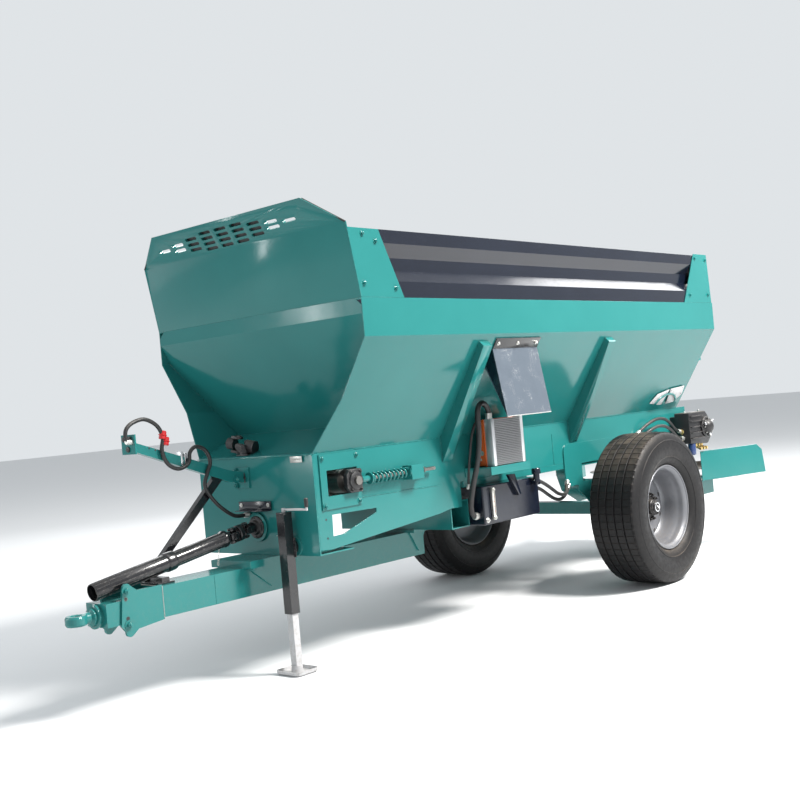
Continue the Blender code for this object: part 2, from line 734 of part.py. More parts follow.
def clevis_outline():
    """Side plate of the hitch head: an ear above and below at the front, tapering rearwards."""
    ear = 0.024
    points = [(3.660, 0.428), (3.821, 0.412)]
    points += [(3.872 + ear * math.cos(a), 0.404 + ear * math.sin(a))
               for a in (math.radians(-90 - 40 + 20 * i) for i in range(8))]
    points += [(CLEVIS_FRONT - 0.004, 0.440), (CLEVIS_FRONT - 0.022, 0.600)]
    points += [(3.874 + ear * math.cos(a), 0.624 + ear * math.sin(a))
               for a in (math.radians(10 + 20 * i) for i in range(8))]
    points += [(3.815, 0.606), (3.660, 0.606)]
    return points


def hitch_head():
    """Two clevis plates on the beam's end, a nose block between them and a round flange."""
    low = BEAM_HALF - CLEVIS_PLATE
    block = add_box(bmesh.new(), (3.700, -low - 0.004, 0.447), (3.995, low + 0.004, 0.566))
    made = new_object(block, "hitch_head", TEAL)
    tools = []
    for tag, sign in SIDES:
        plate = add_prism(bmesh.new(), clevis_outline(), sign * low, sign * BEAM_HALF)
        tools.append(new_object(plate, f"clevis_plate_{tag}", TEAL))
    nose = add_rod(bmesh.new(), (3.960, 0.0, EYE_Z), (HEAD_FRONT, 0.0, EYE_Z), 0.058, 24)
    tools.append(new_object(nose, "hitch_nose", TEAL))
    shift = BEAM_FRONT + GAP - 3.660
    for part in (made, *tools):
        part.data.transform(Matrix.Translation((shift, 0.0, 0.0)))
    return join(made, *tools)


def tow_eye():
    """Swivelling neck and ring; its origin is on the swivel axis."""
    start = HEAD_FRONT + BEAM_FRONT + GAP - 3.660 + 0.0008
    centre_x = REACH_FRONT - EYE_RADIUS
    profile = (
        (0.0, start), (0.046, start), (0.046, start + 0.012), (0.030, start + 0.022),
        (0.026, centre_x - 0.034), (0.0, centre_x - 0.034),
    )
    neck = add_turned(bmesh.new(), profile, (0.0, 0.0, EYE_Z), (1.0, 0.0, 0.0), 20)
    origin = (start, 0.0, EYE_Z)
    made = new_object(neck, "tow_eye", TEAL, origin)
    half = EYE_THICK / 2
    ring = (
        (EYE_HOLE, -half * 0.8), (EYE_HOLE + 0.006, -half), (EYE_RADIUS - 0.006, -half),
        (EYE_RADIUS, -half * 0.6), (EYE_RADIUS, half * 0.6), (EYE_RADIUS - 0.006, half),
        (EYE_HOLE + 0.006, half), (EYE_HOLE, half * 0.8),
    )
    bm = add_turned(bmesh.new(), ring, (centre_x, 0.0, EYE_Z), (0.0, 0.0, 1.0), 24, ring=True)
    return join(made, new_object(bm, "tow_ring", TEAL, origin))


# --- power shaft, hose arm and jack --------------------------------------------------------


PTO_BALL = 0.016         # radius of the joint's round end about its pivot


def pto_input():
    """Bearing cover and splined stub that the shaft's joint sits on."""
    reach = PTO_PIVOT_X - PTO_BALL - 0.0006 - FRONT_FACE - GAP
    profile = (
        (0.0, 0.0), (0.062, 0.0), (0.062, 0.014), (0.040, 0.018), (0.040, 0.030), (0.018, 0.032),
        (0.018, reach), (0.0, reach),
    )
    bm = add_turned(bmesh.new(), profile, (FRONT_FACE + GAP, 0.0, PTO_PIVOT_Z), (1.0, 0.0, 0.0), 24)
    return new_object(bm, "pto_input", BLACK)


def pto_shaft():
    """Guarded cardan shaft lying towards the hitch; it swings up about its rear joint."""
    pivot = Vector((PTO_PIVOT_X, 0.0, PTO_PIVOT_Z))
    along = Vector((PTO_TIP_X, 0.0, PTO_TIP_Z)) - pivot
    length = along.length
    tube = PTO_TUBE_RADIUS
    ball = PTO_BALL
    profile = (
        (0.0, -ball), (ball * 0.7, -ball * 0.7), (ball, 0.0), (0.030, 0.012), (0.042, 0.026), (0.046, 0.070),
        (0.055, 0.090), (0.055, 0.170), (tube - 0.006, 0.185), (tube - 0.006, 0.560), (tube + 0.006, 0.562),
        (tube + 0.006, 0.600), (tube, 0.602), (tube, length), (tube - 0.005, length),
        (tube - 0.005, length - 0.120), (0.0, length - 0.120),
    )
    bm = add_turned(bmesh.new(), profile, pivot, along, 20)
    return new_object(bm, "pto_shaft", BLACK, pivot)


ARM_START = FRONT_FACE + GAP + 0.006
ARM_KINK_X = ARM_START + 0.100
ARM_KINK_Z = ARM_BASE_Z - ARM_HEIGHT / 2 + 0.012


def arm_under(x):
    """Height of the arm's lower edge."""
    rise = (ARM_TIP_Z - ARM_HEIGHT / 2 - ARM_KINK_Z) / (ARM_TIP_X - ARM_KINK_X)
    return ARM_KINK_Z + (x - ARM_KINK_X) * rise


def hose_arm():
    """Arm that reaches over the drawbar and holds the hose ends."""
    low, high = ARM_Y - ARM_HALF, ARM_Y + ARM_HALF
    h = ARM_HEIGHT / 2
    outline = [
        (ARM_START, ARM_BASE_Z - h), (ARM_KINK_X, ARM_KINK_Z), (ARM_TIP_X, ARM_TIP_Z - h),
        (ARM_TIP_X, ARM_TIP_Z + h * 0.6), (ARM_KINK_X + 0.010, ARM_BASE_Z + h + 0.020),
        (ARM_START, ARM_BASE_Z + h),
    ]
    made = new_object(add_prism(bmesh.new(), outline, low, high), "hose_arm", TEAL)
    base = add_box(
        bmesh.new(), (FRONT_FACE + GAP, ARM_Y - 0.060, ARM_BASE_Z - 0.065),
        (FRONT_FACE + GAP + 0.010, ARM_Y + 0.060, ARM_BASE_Z + 0.055),
    )
    plate = add_box(
        bmesh.new(), (ARM_TIP_X - 0.004, ARM_Y - 0.060, ARM_TIP_Z - 0.050),
        (ARM_TIP_X + 0.006, ARM_Y + 0.060, ARM_TIP_Z + 0.055),
    )
    return join(made, new_object(base, "arm_base", TEAL), new_object(plate, "arm_end_plate", TEAL))


def arm_strut():
    """Square strut from the drawbar to the arm, with the shaft's rest on its foot plate."""
    foot_z = BEAM_TOP + GAP
    s = 0.018
    run = Vector((STRUT_TOP_X - STRUT_FOOT_X, arm_under(STRUT_TOP_X) - foot_z)).normalized()
    wide = s / abs(run.y)
    outline = [
        (STRUT_FOOT_X - wide, foot_z + 0.006), (STRUT_FOOT_X + wide, foot_z + 0.006),
        (STRUT_TOP_X + wide, arm_under(STRUT_TOP_X + wide) - GAP),
        (STRUT_TOP_X - wide, arm_under(STRUT_TOP_X - wide) - GAP),
    ]
    made = new_object(add_prism(bmesh.new(), outline, ARM_Y - s, ARM_Y + s), "arm_strut", BLACK)
    foot = add_box(bmesh.new(), (3.550, ARM_Y - s - 0.002, foot_z), (3.655, 0.060, foot_z + 0.010))
    rest_x = 3.600
    run_z = PTO_PIVOT_Z + (PTO_TIP_Z - PTO_PIVOT_Z) * (rest_x - PTO_PIVOT_X) / (PTO_TIP_X - PTO_PIVOT_X)
    saddle = add_box(
        bmesh.new(), (rest_x - 0.025, -0.050, foot_z + 0.004),
        (rest_x + 0.025, 0.050, run_z - PTO_TUBE_RADIUS - 0.014),
    )
    return join(made, new_object(foot, "strut_foot", BLACK), new_object(saddle, "shaft_rest", BLACK))


def jack_tube():
    """Outer tube, collar, crank and grip. It swings about its stub, whose axis runs along X."""
    pivot = (JACK_X, JACK_Y, JACK_PIVOT_Z)
    t = JACK_TUBE
    top = JACK_PIVOT_Z + JACK_UP
    foot = JACK_PIVOT_Z - JACK_DOWN
    outer = [(-t, -t), (t, -t), (t, t), (-t, t)]
    inside = JACK_LEG + 0.0007
    inner = [(-inside, -inside), (inside, -inside), (inside, inside), (-inside, inside)]

    def shifted(loop):
        return [(JACK_X + a, JACK_Y + b) for a, b in loop]

    tube = add_prism(bmesh.new(), shifted(outer), foot, top, axis="Z", holes=(shifted(inner),))
    made = new_object(tube, "jack_tube", BLACK, pivot)
    cap = add_box(bmesh.new(), (JACK_X - t, JACK_Y - t, top - 0.004), (JACK_X + t, JACK_Y + t, top + 0.012))
    collar = add_rod(
        bmesh.new(), (FRONT_FACE + 0.0086, JACK_Y, JACK_PIVOT_Z),
        (JACK_X - t + 0.004, JACK_Y, JACK_PIVOT_Z), 0.040, 20
    )
    head = add_rod(bmesh.new(), (JACK_X, JACK_Y, top), (JACK_X, JACK_Y, top + 0.034), 0.010, 12)
    arm = add_box(
        bmesh.new(), (JACK_X - 0.012, JACK_Y - 0.014, top + 0.022),
        (JACK_X + 0.012, JACK_Y + CRANK_REACH, top + 0.029),
    )
    grip = add_rod(
        bmesh.new(), (JACK_X, JACK_Y + CRANK_REACH - 0.012, top + 0.024),
        (JACK_X, JACK_Y + CRANK_REACH - 0.012, top + 0.085), 0.011, 12
    )
    tools = [
        (cap, "jack_cap"), (collar, "jack_collar"), (head, "crank_head"), (arm, "crank_arm"),
        (grip, "crank_grip"),
    ]
    return join(made, *[new_object(bm, name, BLACK, pivot) for bm, name in tools])


def jack_leg():
    """Inner leg and dished foot, wound out to the ground."""
    low = 0.012
    origin = (JACK_X, JACK_Y, 0.0)
    half = JACK_LEG
    top = JACK_PIVOT_Z + JACK_UP - JACK_TRAVEL - 0.060
    leg = add_box(bmesh.new(), (JACK_X - half, JACK_Y - half, low), (JACK_X + half, JACK_Y + half, top))
    made = new_object(leg, "jack_leg", WHITE, origin)
    foot = new_object(pressed_pan(origin, FOOT_HALF_X, FOOT_HALF_Y, 0.026, 0.005), "jack_foot", WHITE, origin)
    boss = add_rod(bmesh.new(), (JACK_X, JACK_Y, 0.003), (JACK_X, JACK_Y, 0.045), 0.036, 20, 0.030)
    return join(made, foot, new_object(boss, "foot_boss", WHITE, origin))


def pressed_pan(centre, half_x, half_y, depth, wall):
    """Rectangular pan with round corners and walls that flare upwards."""

    def ring(bm, inset, z):
        corner = 0.030 - inset * 0.6
        points = []
        for quarter, (sx, sy) in enumerate(((1, 1), (-1, 1), (-1, -1), (1, -1))):
            cx = sx * (half_x - inset - corner)
            cy = sy * (half_y - inset - corner)
            for step in range(4):
                a = math.pi / 2 * (quarter + step / 3)
                x = centre[0] + cx + corner * math.cos(a)
                points.append((x, centre[1] + cy + corner * math.sin(a), z))
        return [bm.verts.new(point) for point in points]

    bm = bmesh.new()
    rings = [
        ring(bm, 0.014, 0.0), ring(bm, 0.003, 0.008), ring(bm, 0.0, depth),
        ring(bm, wall, depth), ring(bm, wall + 0.004, 0.010), ring(bm, 0.020, wall),
    ]
    for low, high in zip(rings, rings[1:]):
        for i, start in enumerate(low):
            j = (i + 1) % len(low)
            bm.faces.new((start, low[j], high[j], high[i]))
    bm.faces.new(list(reversed(rings[0])))
    bm.faces.new(rings[-1])
    return bm


def jack_stub():
    """Stub on the front plate that carries the jack."""
    profile = ((0.0, -0.002), (0.055, -0.002), (0.055, 0.008), (0.0, 0.008))
    bm = add_turned(bmesh.new(), profile, (FRONT_FACE, JACK_Y, JACK_PIVOT_Z), (1.0, 0.0, 0.0), 20)
    return new_object(bm, "jack_stub", TEAL)


# --- axle and wheels -----------------------------------------------------------------------


def axle_beam():
    half = AXLE_HALF
    bm = add_box(bmesh.new(), (-half, -AXLE_SPAN, TYRE_Z - half), (half, AXLE_SPAN, TYRE_Z + half))
    made = new_object(bm, "axle_beam", TEAL)
    tip = TRACK / 2 - 0.010
    spindle = add_rod(bmesh.new(), (0.0, -tip, TYRE_Z), (0.0, tip, TYRE_Z), SPINDLE_RADIUS, 20)
    return join(made, new_object(spindle, "axle_spindle", STEEL))


def axle_hanger(tag, sign):
    """Plate that carries the axle: two straps on the trough side, narrowing to the beam below."""
    low = TROUGH_HALF + GAP
    foot = TYRE_Z + AXLE_HALF + GAP
    round_over = 0.060
    corner = [
        (HANGER_HALF_TOP - round_over * (1 - math.cos(a)), HANGER_TOP - round_over * (1 - math.sin(a)))
        for a in (math.radians(15 * i) for i in range(7))
    ]
    outline = [(HANGER_HALF_FOOT, foot), (0.300, 0.700), (0.300, STRAP_FOOT), (HANGER_HALF_TOP, STRAP_FOOT)]
    outline += corner
    outline += [(-x, z) for x, z in reversed(outline)]
    inside = 0.240
    window = [(-inside, STRAP_FOOT + 0.020), (inside, STRAP_FOOT + 0.020), (inside, 0.885), (-inside, 0.885)]
    bm = add_prism(bmesh.new(), outline, sign * low, sign * (low + HANGER_THICK), holes=(window,))
    return new_object(bm, f"axle_hanger_{tag}", TEAL)


def tyre(tag, sign):
    centre = (0.0, sign * TRACK / 2, TYRE_Z)
    half = TYRE_WIDTH / 2
    bead_r = RIM_RADIUS - 0.014
    bead_a = RIM_WIDTH / 2 - 0.0125
    outer = [
        (bead_r, bead_a - 0.018), (bead_r, bead_a - 0.002), (RIM_RADIUS + 0.004, bead_a + 0.001),
        (0.340, half - 0.018), (0.420, half), (0.475, half - 0.007), (0.515, half - 0.022),
        (0.530, half - 0.044), (TYRE_RADIUS - 0.001, half * 0.5), (TYRE_RADIUS, 0.0),
    ]
    w = TYRE_WALL
    inner = [
        (TYRE_RADIUS - w, 0.0), (0.530 - w, half - 0.060), (0.430, half - w),
        (RIM_RADIUS + 0.012, bead_a - 0.012),
    ]
    profile = outer + [(r, -a) for r, a in reversed(outer[:-1])]
    profile += [(r, -a) for r, a in reversed(inner)] + inner[1:]
    bm = add_turned(bmesh.new(), profile, centre, (0.0, sign, 0.0), WHEEL_STEPS, ring=True)
    return new_object(bm, f"tyre_{tag}", RUBBER, centre)


def wheel_rim(tag, sign):
    """Deep-dish rim and hub in one turned piece with a blind bore for the spindle."""
    centre = (0.0, sign * TRACK / 2, TYRE_Z)
    edge = RIM_WIDTH / 2
    bead = RIM_RADIUS - 0.014 - GAP * 2
    bore = SPINDLE_RADIUS + 0.0008
    dish = -0.030
    profile = (
        (0.0, 0.070), (0.045, 0.070), (0.060, 0.052), (0.060, 0.010), (0.085, dish + 0.012),
        (0.150, dish + 0.012), (0.215, dish + 0.004), (0.238, dish + 0.030), (0.262, edge - 0.030),
        (0.285, edge - 0.002), (RIM_RADIUS, edge), (RIM_RADIUS, edge - 0.008), (bead, edge - 0.0118),
        (bead, edge - 0.034), (bead - 0.016, edge - 0.060), (bead - 0.016, -edge + 0.060),
        (bead, -edge + 0.034), (bead, -edge + 0.0118), (RIM_RADIUS, -edge + 0.008), (RIM_RADIUS, -edge),
        (bead - 0.014, -edge + 0.004), (bead - 0.026, -edge + 0.062), (0.236, dish - 0.012), (0.150, dish),
        (0.095, dish), (0.095, -0.100), (bore, -0.100), (bore, 0.0), (0.0, 0.0),
    )
    bm = add_turned(bmesh.new(), profile, centre, (0.0, sign, 0.0), WHEEL_STEPS)
    return new_object(bm, f"wheel_rim_{tag}", SILVER, centre)


# --- hydraulics ----------------------------------------------------------------------------


def oil_tank():
    top = TROUGH_BOTTOM - LADDER_THICK - GAP * 2
    bm = add_box(bmesh.new(), (TANK_REAR, TANK_IN, TANK_BOTTOM), (TANK_FRONT, TANK_OUT, top))
    made = new_object(bm, "oil_tank", NAVY)
    bevel = made.modifiers.new("Edges", "BEVEL")
    bevel.width = 0.008
    bevel.segments = 2
    return made


def cooler_bracket():
    """Shelf under the cooler, folded from one strip, bolted to the trough side."""
    low = TROUGH_HALF + GAP
    top = COOLER_BOTTOM - GAP
    outline = [
        (low, top - 0.060), (low + 0.006, top - 0.060), (low + 0.006, top - 0.006),
        (COOLER_OUT - 0.006, top - 0.006), (COOLER_OUT - 0.006, top - 0.050), (COOLER_OUT, top - 0.050),
        (COOLER_OUT, top), (low, top),
    ]
    bm = add_prism(bmesh.new(), outline, COOLER_REAR - 0.040, COOLER_FRONT + 0.040, axis="X")
    return new_object(bm, "cooler_bracket", TEAL)


def oil_cooler():
    """Finned core with the fan's housing behind it."""
    core = add_box(
        bmesh.new(), (COOLER_REAR, COOLER_OUT - CORE_DEPTH, COOLER_BOTTOM),
        (COOLER_FRONT, COOLER_OUT, COOLER_TOP),
    )
    housing = add_box(
        bmesh.new(), (COOLER_REAR + 0.006, COOLER_IN, COOLER_BOTTOM + 0.002),
        (COOLER_FRONT - 0.004, COOLER_OUT - CORE_DEPTH + 0.002, COOLER_TOP - 0.006),
    )
    made = new_object(core, "oil_cooler", ORANGE)
    return join(made, new_object(housing, "fan_housing", ORANGE))


def cooler_shield():
    """Sheet over the cooler: bolted flange, sloping face and a cheek at each end."""
    s = SHIELD_SHEET / 2
    seat = (GAP + s * 1.2) / SIDE_COS

    def wall(z):
        return side_outer(z) + seat

    rear, front = SHIELD_REAR, SHIELD_FRONT
    flange_top = SHIELD_TOP + 0.060
    knee = (wall(SHIELD_TOP) + 0.004, SHIELD_TOP)
    cheek_z = 1.600
    cheek = (side_outer(cheek_z) + 0.008, cheek_z)
    foot = (SHIELD_FOOT_Y, SHIELD_FOOT_Z)
    bm = bmesh.new()
    lines = [
        [bm.verts.new((x, *point)) for x in (rear, front)]
        for point in ((wall(flange_top), flange_top), knee, foot)
    ]
    for line, following in zip(lines, lines[1:]):
        bm.faces.new((line[0], line[1], following[1], following[0]))
    for i, x in enumerate((rear, front)):
        inner = bm.verts.new((x, *cheek))
        bm.faces.new((lines[1][i], lines[2][i], inner))
    return thicken(new_object(bm, "cooler_shield", SHIELD), SHIELD_SHEET)


def hose(name, points, radius):
    """A hose along a smooth curve through its points, as a run of short straight pieces."""
    guides = [Vector(point) for point in points]
    padded = [guides[0] * 2 - guides[1], *guides, guides[-1] * 2 - guides[-2]]
    run = [guides[0]]
    for a, b, c, d in zip(padded, padded[1:], padded[2:], padded[3:]):
        count = max(2, round((c - b).length / (radius * 5)))
        for i in range(1, count + 1):
            t = i / count
            run.append(0.5 * (2 * b + (c - a) * t + (2 * a - 5 * b + 4 * c - d) * t * t
                              + (3 * b - a - 3 * c + d) * t ** 3))
    curve = bpy.data.curves.new(name, "CURVE")
    curve.dimensions = "3D"
    curve.bevel_depth = radius
    curve.bevel_resolution = 2
    curve.use_fill_caps = True
    spline = curve.splines.new("POLY")
    spline.points.add(len(run) - 1)
    for point, place in zip(spline.points, run):
        point.co = (*place, 1.0)
    curve.materials.append(HOSE)
    made = bpy.data.objects.new(name, curve)
    made.parent = machine
    bpy.context.scene.collection.objects.link(made)
    return made


def beside(y, z):
    """A distance out that keeps the thick hose off the hopper wall."""
    return max(y, side_outer(z) + 0.026)


def hoses():
    side = ARM_Y + ARM_HALF + 0.016
    hose("supply_hose", (
        (ARM_TIP_X + 0.007, side, ARM_TIP_Z + 0.015), (3.676, side, 1.352), (3.693, side, 1.378),
        (3.685, side, 1.420), (3.640, side, 1.452), (3.565, side, 1.464), (3.490, side, 1.425),
        (3.458, side, 1.360), (3.470, side, 1.290), (3.440, side, 1.215), (3.370, side, 1.180),
        (3.300, side, 1.205), (3.285, side, 1.262), (3.240, side, 1.290), (3.175, side, 1.262),
        (3.150, side, 1.195), (3.180, side, 1.130), (3.200, side, 1.060), (3.130, side, 0.960),
        (3.020, side, 0.880), (2.935, side, 0.868), (FRONT_FACE + 0.0008, side, 0.868),
    ), 0.011)
    hose("cooler_return_hose", (
        (1.515, 0.668, COOLER_TOP + 0.0006), (1.515, 0.668, 1.300), (1.515, beside(0.668, 1.335), 1.335),
        (1.535, beside(0.668, 1.370), 1.370), (1.575, beside(0.667, 1.385), 1.385),
        (1.608, beside(0.666, 1.362), 1.362), (1.620, beside(0.664, 1.310), 1.310),
        (1.620, 0.661, 1.180), (1.620, 0.634, 1.030),
        (1.620, 0.585, 0.888), (1.618, 0.550, 0.760), (1.608, 0.545, 0.705), (1.585, 0.545, 0.682),
        (TANK_FRONT + 0.0008, 0.545, 0.680),
    ), 0.017)


# --- rear end ------------------------------------------------------------------------------
GEARBOX_IN = 0.545
GEARBOX_OUT = 0.700


def gearbox():
    """Conveyor drive: a cast box on the drive shaft with a round cover and a motor."""
    inner = GEARBOX_IN
    outline = [
        (-1.110, 0.900), (-1.420, 0.880), (-1.465, 0.930), (-1.465, 1.090), (-1.400, 1.150), (-1.110, 1.150)
    ]
    hole = circle_points((DRIVE_X, SHAFT_Z), SHAFT_RADIUS + GAP, 24)
    box = add_prism(bmesh.new(), outline, inner, GEARBOX_OUT, holes=(hole,))
    made = new_object(box, "conveyor_gearbox", BLACK)
    bevel = made.modifiers.new("Edges", "BEVEL")
    bevel.width = 0.006
    bevel.segments = 1
    bevel.limit_method = "ANGLE"
    cover_low, cover_high = GEARBOX_OUT - 0.006, GEARBOX_OUT + 0.040
    cover = add_rod(bmesh.new(), (-1.380, cover_low, 1.020), (-1.380, cover_high, 1.020), 0.090, 20)
    mount = add_box(bmesh.new(), (-1.215, TROUGH_HALF + GAP, 0.960), (-1.130, inner + 0.004, 1.120))
    return join(made, new_object(cover, "gearbox_cover", BLACK), new_object(mount, "gearbox_mount", BLACK))


def rear_gate():
    """Sliding metering gate behind the rear wall."""
    x = HOPPER_REAR - RUNNING
    half = GATE_HALF
    bm = add_box(bmesh.new(), (x - GATE_THICK, -half, GATE_BOTTOM), (x, half, GATE_TOP))
    made = new_object(bm, "rear_gate", TEAL, (x - GATE_THICK / 2, 0.0, GATE_BOTTOM))
    clear = half - 0.020 - RUNNING
    rib = add_box(
        bmesh.new(), (x - GATE_THICK - 0.030, -clear, GATE_TOP - 0.040), (x - 0.002, clear, GATE_TOP - 0.010)
    )
    return join(made, new_object(rib, "gate_stiffener", TEAL, (x - GATE_THICK / 2, 0.0, GATE_BOTTOM)))


def gate_guide(tag, sign):
    """Angle that guides one edge of the gate."""
    inner = GATE_HALF + GATE_FIT
    x = HOPPER_REAR + 0.001
    depth = RUNNING * 2 + GATE_THICK + 0.001
    top = GATE_TOP + GATE_TRAVEL
    outline = [
        (x, inner), (x, inner + 0.030), (x - depth, inner + 0.030), (x - depth - 0.005, inner + 0.030),
        (x - depth - 0.005, GATE_HALF - 0.020), (x - depth, GATE_HALF - 0.020), (x - depth, inner),
    ]
    outline = [(a, sign * b) for a, b in outline]
    bm = add_prism(bmesh.new(), outline, TROUGH_TOP + 0.010, top, axis="Z")
    return new_object(bm, f"gate_guide_{tag}", TEAL)


def gate_scale():
    """Opening scale on the left slope beside the gate, on two short posts."""
    outline = [
        (-0.735, -0.050), (-0.800, 0.035), (-1.015, 0.085), (-1.190, 0.090), (-1.215, 0.010),
        (-1.120, -0.060), (-0.900, -0.075),
    ]
    pieces = [add_prism(bmesh.new(), outline, 0.010, 0.013)]
    for x in (-0.860, -1.140):
        pieces.append(add_box(bmesh.new(), (x - 0.008, GAP, -0.008), (x + 0.008, 0.012, 0.008)))
    middle_z = 1.300
    turn = Matrix.Rotation(-math.atan(SIDE_SLOPE), 4, "X")
    made = []
    for i, bm in enumerate(pieces):
        place = Matrix.Translation((0.0, side_outer(middle_z), middle_z)) @ turn
        bmesh.ops.transform(bm, verts=bm.verts, matrix=place)
        made.append(new_object(bm, "gate_scale" if i == 0 else f"scale_post_{i}", WHITE))
    return join(*made)


def spinner_deck():
    """Deck under the discs with the two plates that hang it from the trough."""
    bm = add_box(bmesh.new(), (DECK_REAR, -DECK_HALF, DECK_Z), (DECK_FRONT, DECK_HALF, DECK_Z + DECK_THICK))
    made = new_object(bm, "spinner_deck", TEAL)
    tools = []
    for tag, sign in SIDES:
        low = TROUGH_HALF + GAP
        outline = [
            (-0.900, 0.900), (-1.060, 1.000), (-1.100, 0.995), (-1.100, 0.700), (-1.340, 0.620),
            (-1.780, 0.580), (-1.780, 0.440), (-1.200, 0.440), (-0.960, 0.560), (-0.900, 0.700),
        ]
        side = add_prism(bmesh.new(), outline, sign * low, sign * (low + 0.008))
        tools.append(new_object(side, f"deck_side_{tag}", TEAL))
        motor = add_rod(
            bmesh.new(), (DISC_X, sign * DISC_Y, DECK_Z + 0.004),
            (DISC_X, sign * DISC_Y, DECK_Z - 0.130), 0.055, 20
        )
        tools.append(new_object(motor, f"spinner_motor_{tag}", BLACK))
        top = DECK_Z + DECK_THICK + RUNNING - 0.0006
        boss = add_rod(bmesh.new(), (DISC_X, sign * DISC_Y, DECK_Z), (DISC_X, sign * DISC_Y, top), 0.030, 16)
        tools.append(new_object(boss, f"motor_boss_{tag}", BLACK))
    bar = add_box(bmesh.new(), (-1.780, -TROUGH_HALF - 0.004, 0.440), (-1.730, TROUGH_HALF + 0.004, 0.500))
    tools.append(new_object(bar, "deck_bar", TEAL))
    return join(made, *tools)


def spinner(tag, sign):
    """Spreading disc with upright vanes on its hub."""
    centre = (DISC_X, sign * DISC_Y, DISC_Z)
    hub_low = DECK_Z + DECK_THICK + RUNNING - DISC_Z
    profile = (
        (0.0, hub_low), (0.040, hub_low), (0.040, 0.0), (DISC_RADIUS, 0.0), (DISC_RADIUS, DISC_THICK),
        (0.060, DISC_THICK), (0.045, 0.035), (0.0, 0.040),
    )
    bm = add_turned(bmesh.new(), profile, centre, (0.0, 0.0, 1.0), 32)
    made = new_object(bm, f"spinner_{tag}", STEEL, centre)
    tools = []
    for i in range(VANE_COUNT):
        tip = DISC_RADIUS - 0.006
        vane = add_box(bmesh.new(), (0.050, -0.003, DISC_THICK - 0.002), (tip, 0.003, VANE_HEIGHT))
        turn = Matrix.Rotation(math.tau * i / VANE_COUNT + sign * 0.4, 4, "Z")
        bmesh.ops.transform(vane, verts=vane.verts, matrix=Matrix.Translation(centre) @ turn)
        tools.append(new_object(vane, f"vane_{tag}_{i}", STEEL, centre))
    return join(made, *tools)


def deflector(tag, sign):
    """Upright wing that closes the side of the spreading deck."""
    s = WING_SHEET / 2
    span = Vector((-REACH_REAR - WING_FRONT_X, WING_REAR_Y - WING_FRONT_Y)).normalized()
    normal = Vector((-span.y, span.x)) * s
    rear_x = -REACH_REAR + abs(normal.x)
    outline = [
        (WING_FRONT_X, WING_BOTTOM), (rear_x, WING_BOTTOM), (rear_x + 0.024, WING_TOP - 0.045),
        (rear_x + 0.075, WING_TOP), (WING_FRONT_X, WING_TOP),
    ]
    rise = (WING_REAR_Y - WING_FRONT_Y) / (rear_x - WING_FRONT_X)
    bm = bmesh.new()
    corners = [bm.verts.new((x, sign * (WING_FRONT_Y + (x - WING_FRONT_X) * rise), z)) for x, z in outline]
    bm.faces.new(corners)
    foot_in = DECK_HALF - 0.040
    foot_z = DECK_Z + DECK_THICK + GAP + s
    lug = [
        (WING_FRONT_X, WING_FRONT_Y, foot_z), (-1.700, WING_FRONT_Y + (-1.700 - WING_FRONT_X) * rise, foot_z),
        (-1.700, foot_in, foot_z), (WING_FRONT_X, foot_in, foot_z),
    ]
    made = thicken(new_object(bm, f"rear_deflector_{tag}", TEAL), WING_SHEET)
    foot = bmesh.new()
    foot.faces.new([foot.verts.new((x, sign * y, z)) for x, y, z in lug])
    return join(made, thicken(new_object(foot, f"deflector_foot_{tag}", TEAL), WING_SHEET))


# --- build ---------------------------------------------------------------------------------
for tag, sign in SIDES:
    hopper_side(tag, sign)
    extension_board(tag, sign)
    trough_side(tag, sign)
    tensioner_plate(tag, sign)
    tensioner_screw(tag, sign)
    axle_hanger(tag, sign)
    tyre(tag, sign)
    wheel_rim(tag, sign)
    spinner(tag, sign)
    deflector(tag, sign)
    for place, rib_x in zip(("front", "rear"), RIB_XS):
        side_rib(f"side_rib_{place}_{tag}", sign, rib_x)
hopper_front_wall()
hopper_rear_wall()
front_hood()
rear_board()
corner_brackets()
front_plate()
conveyor_loop()
bed_plate()
trough_frame()
conveyor_shaft("idler_shaft", IDLER_X, TROUGH_HALF + 0.070)
conveyor_shaft("drive_shaft", DRIVE_X, GEARBOX_IN + 0.080)
drawbar_beam()
rear_cross_member()
hitch_head()
tow_eye()
pto_input()
pto_shaft()
hose_arm()
arm_strut()
jack_tube()
jack_leg()
axle_beam()
oil_tank()
cooler_bracket()
oil_cooler()
cooler_shield()
hoses()
gearbox()
rear_gate()
gate_scale()
spinner_deck()
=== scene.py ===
# %% [markdown]
# A towed manure spreader, dressed for its picture
#
# The engineering model gives every plate its size and place. This lesson adds what makes a
# machine look real: paint with wear and dust, tread on the tyres, bolts, hoses and springs.
# Nothing here moves or resizes a plate of the model. New pieces are put beside it, or stand in
# for one plain node where the real thing has more shape.

# %% Load the model as a fixed frame
import json
import math

import bmesh
import bpy
from mathutils import Matrix, Vector


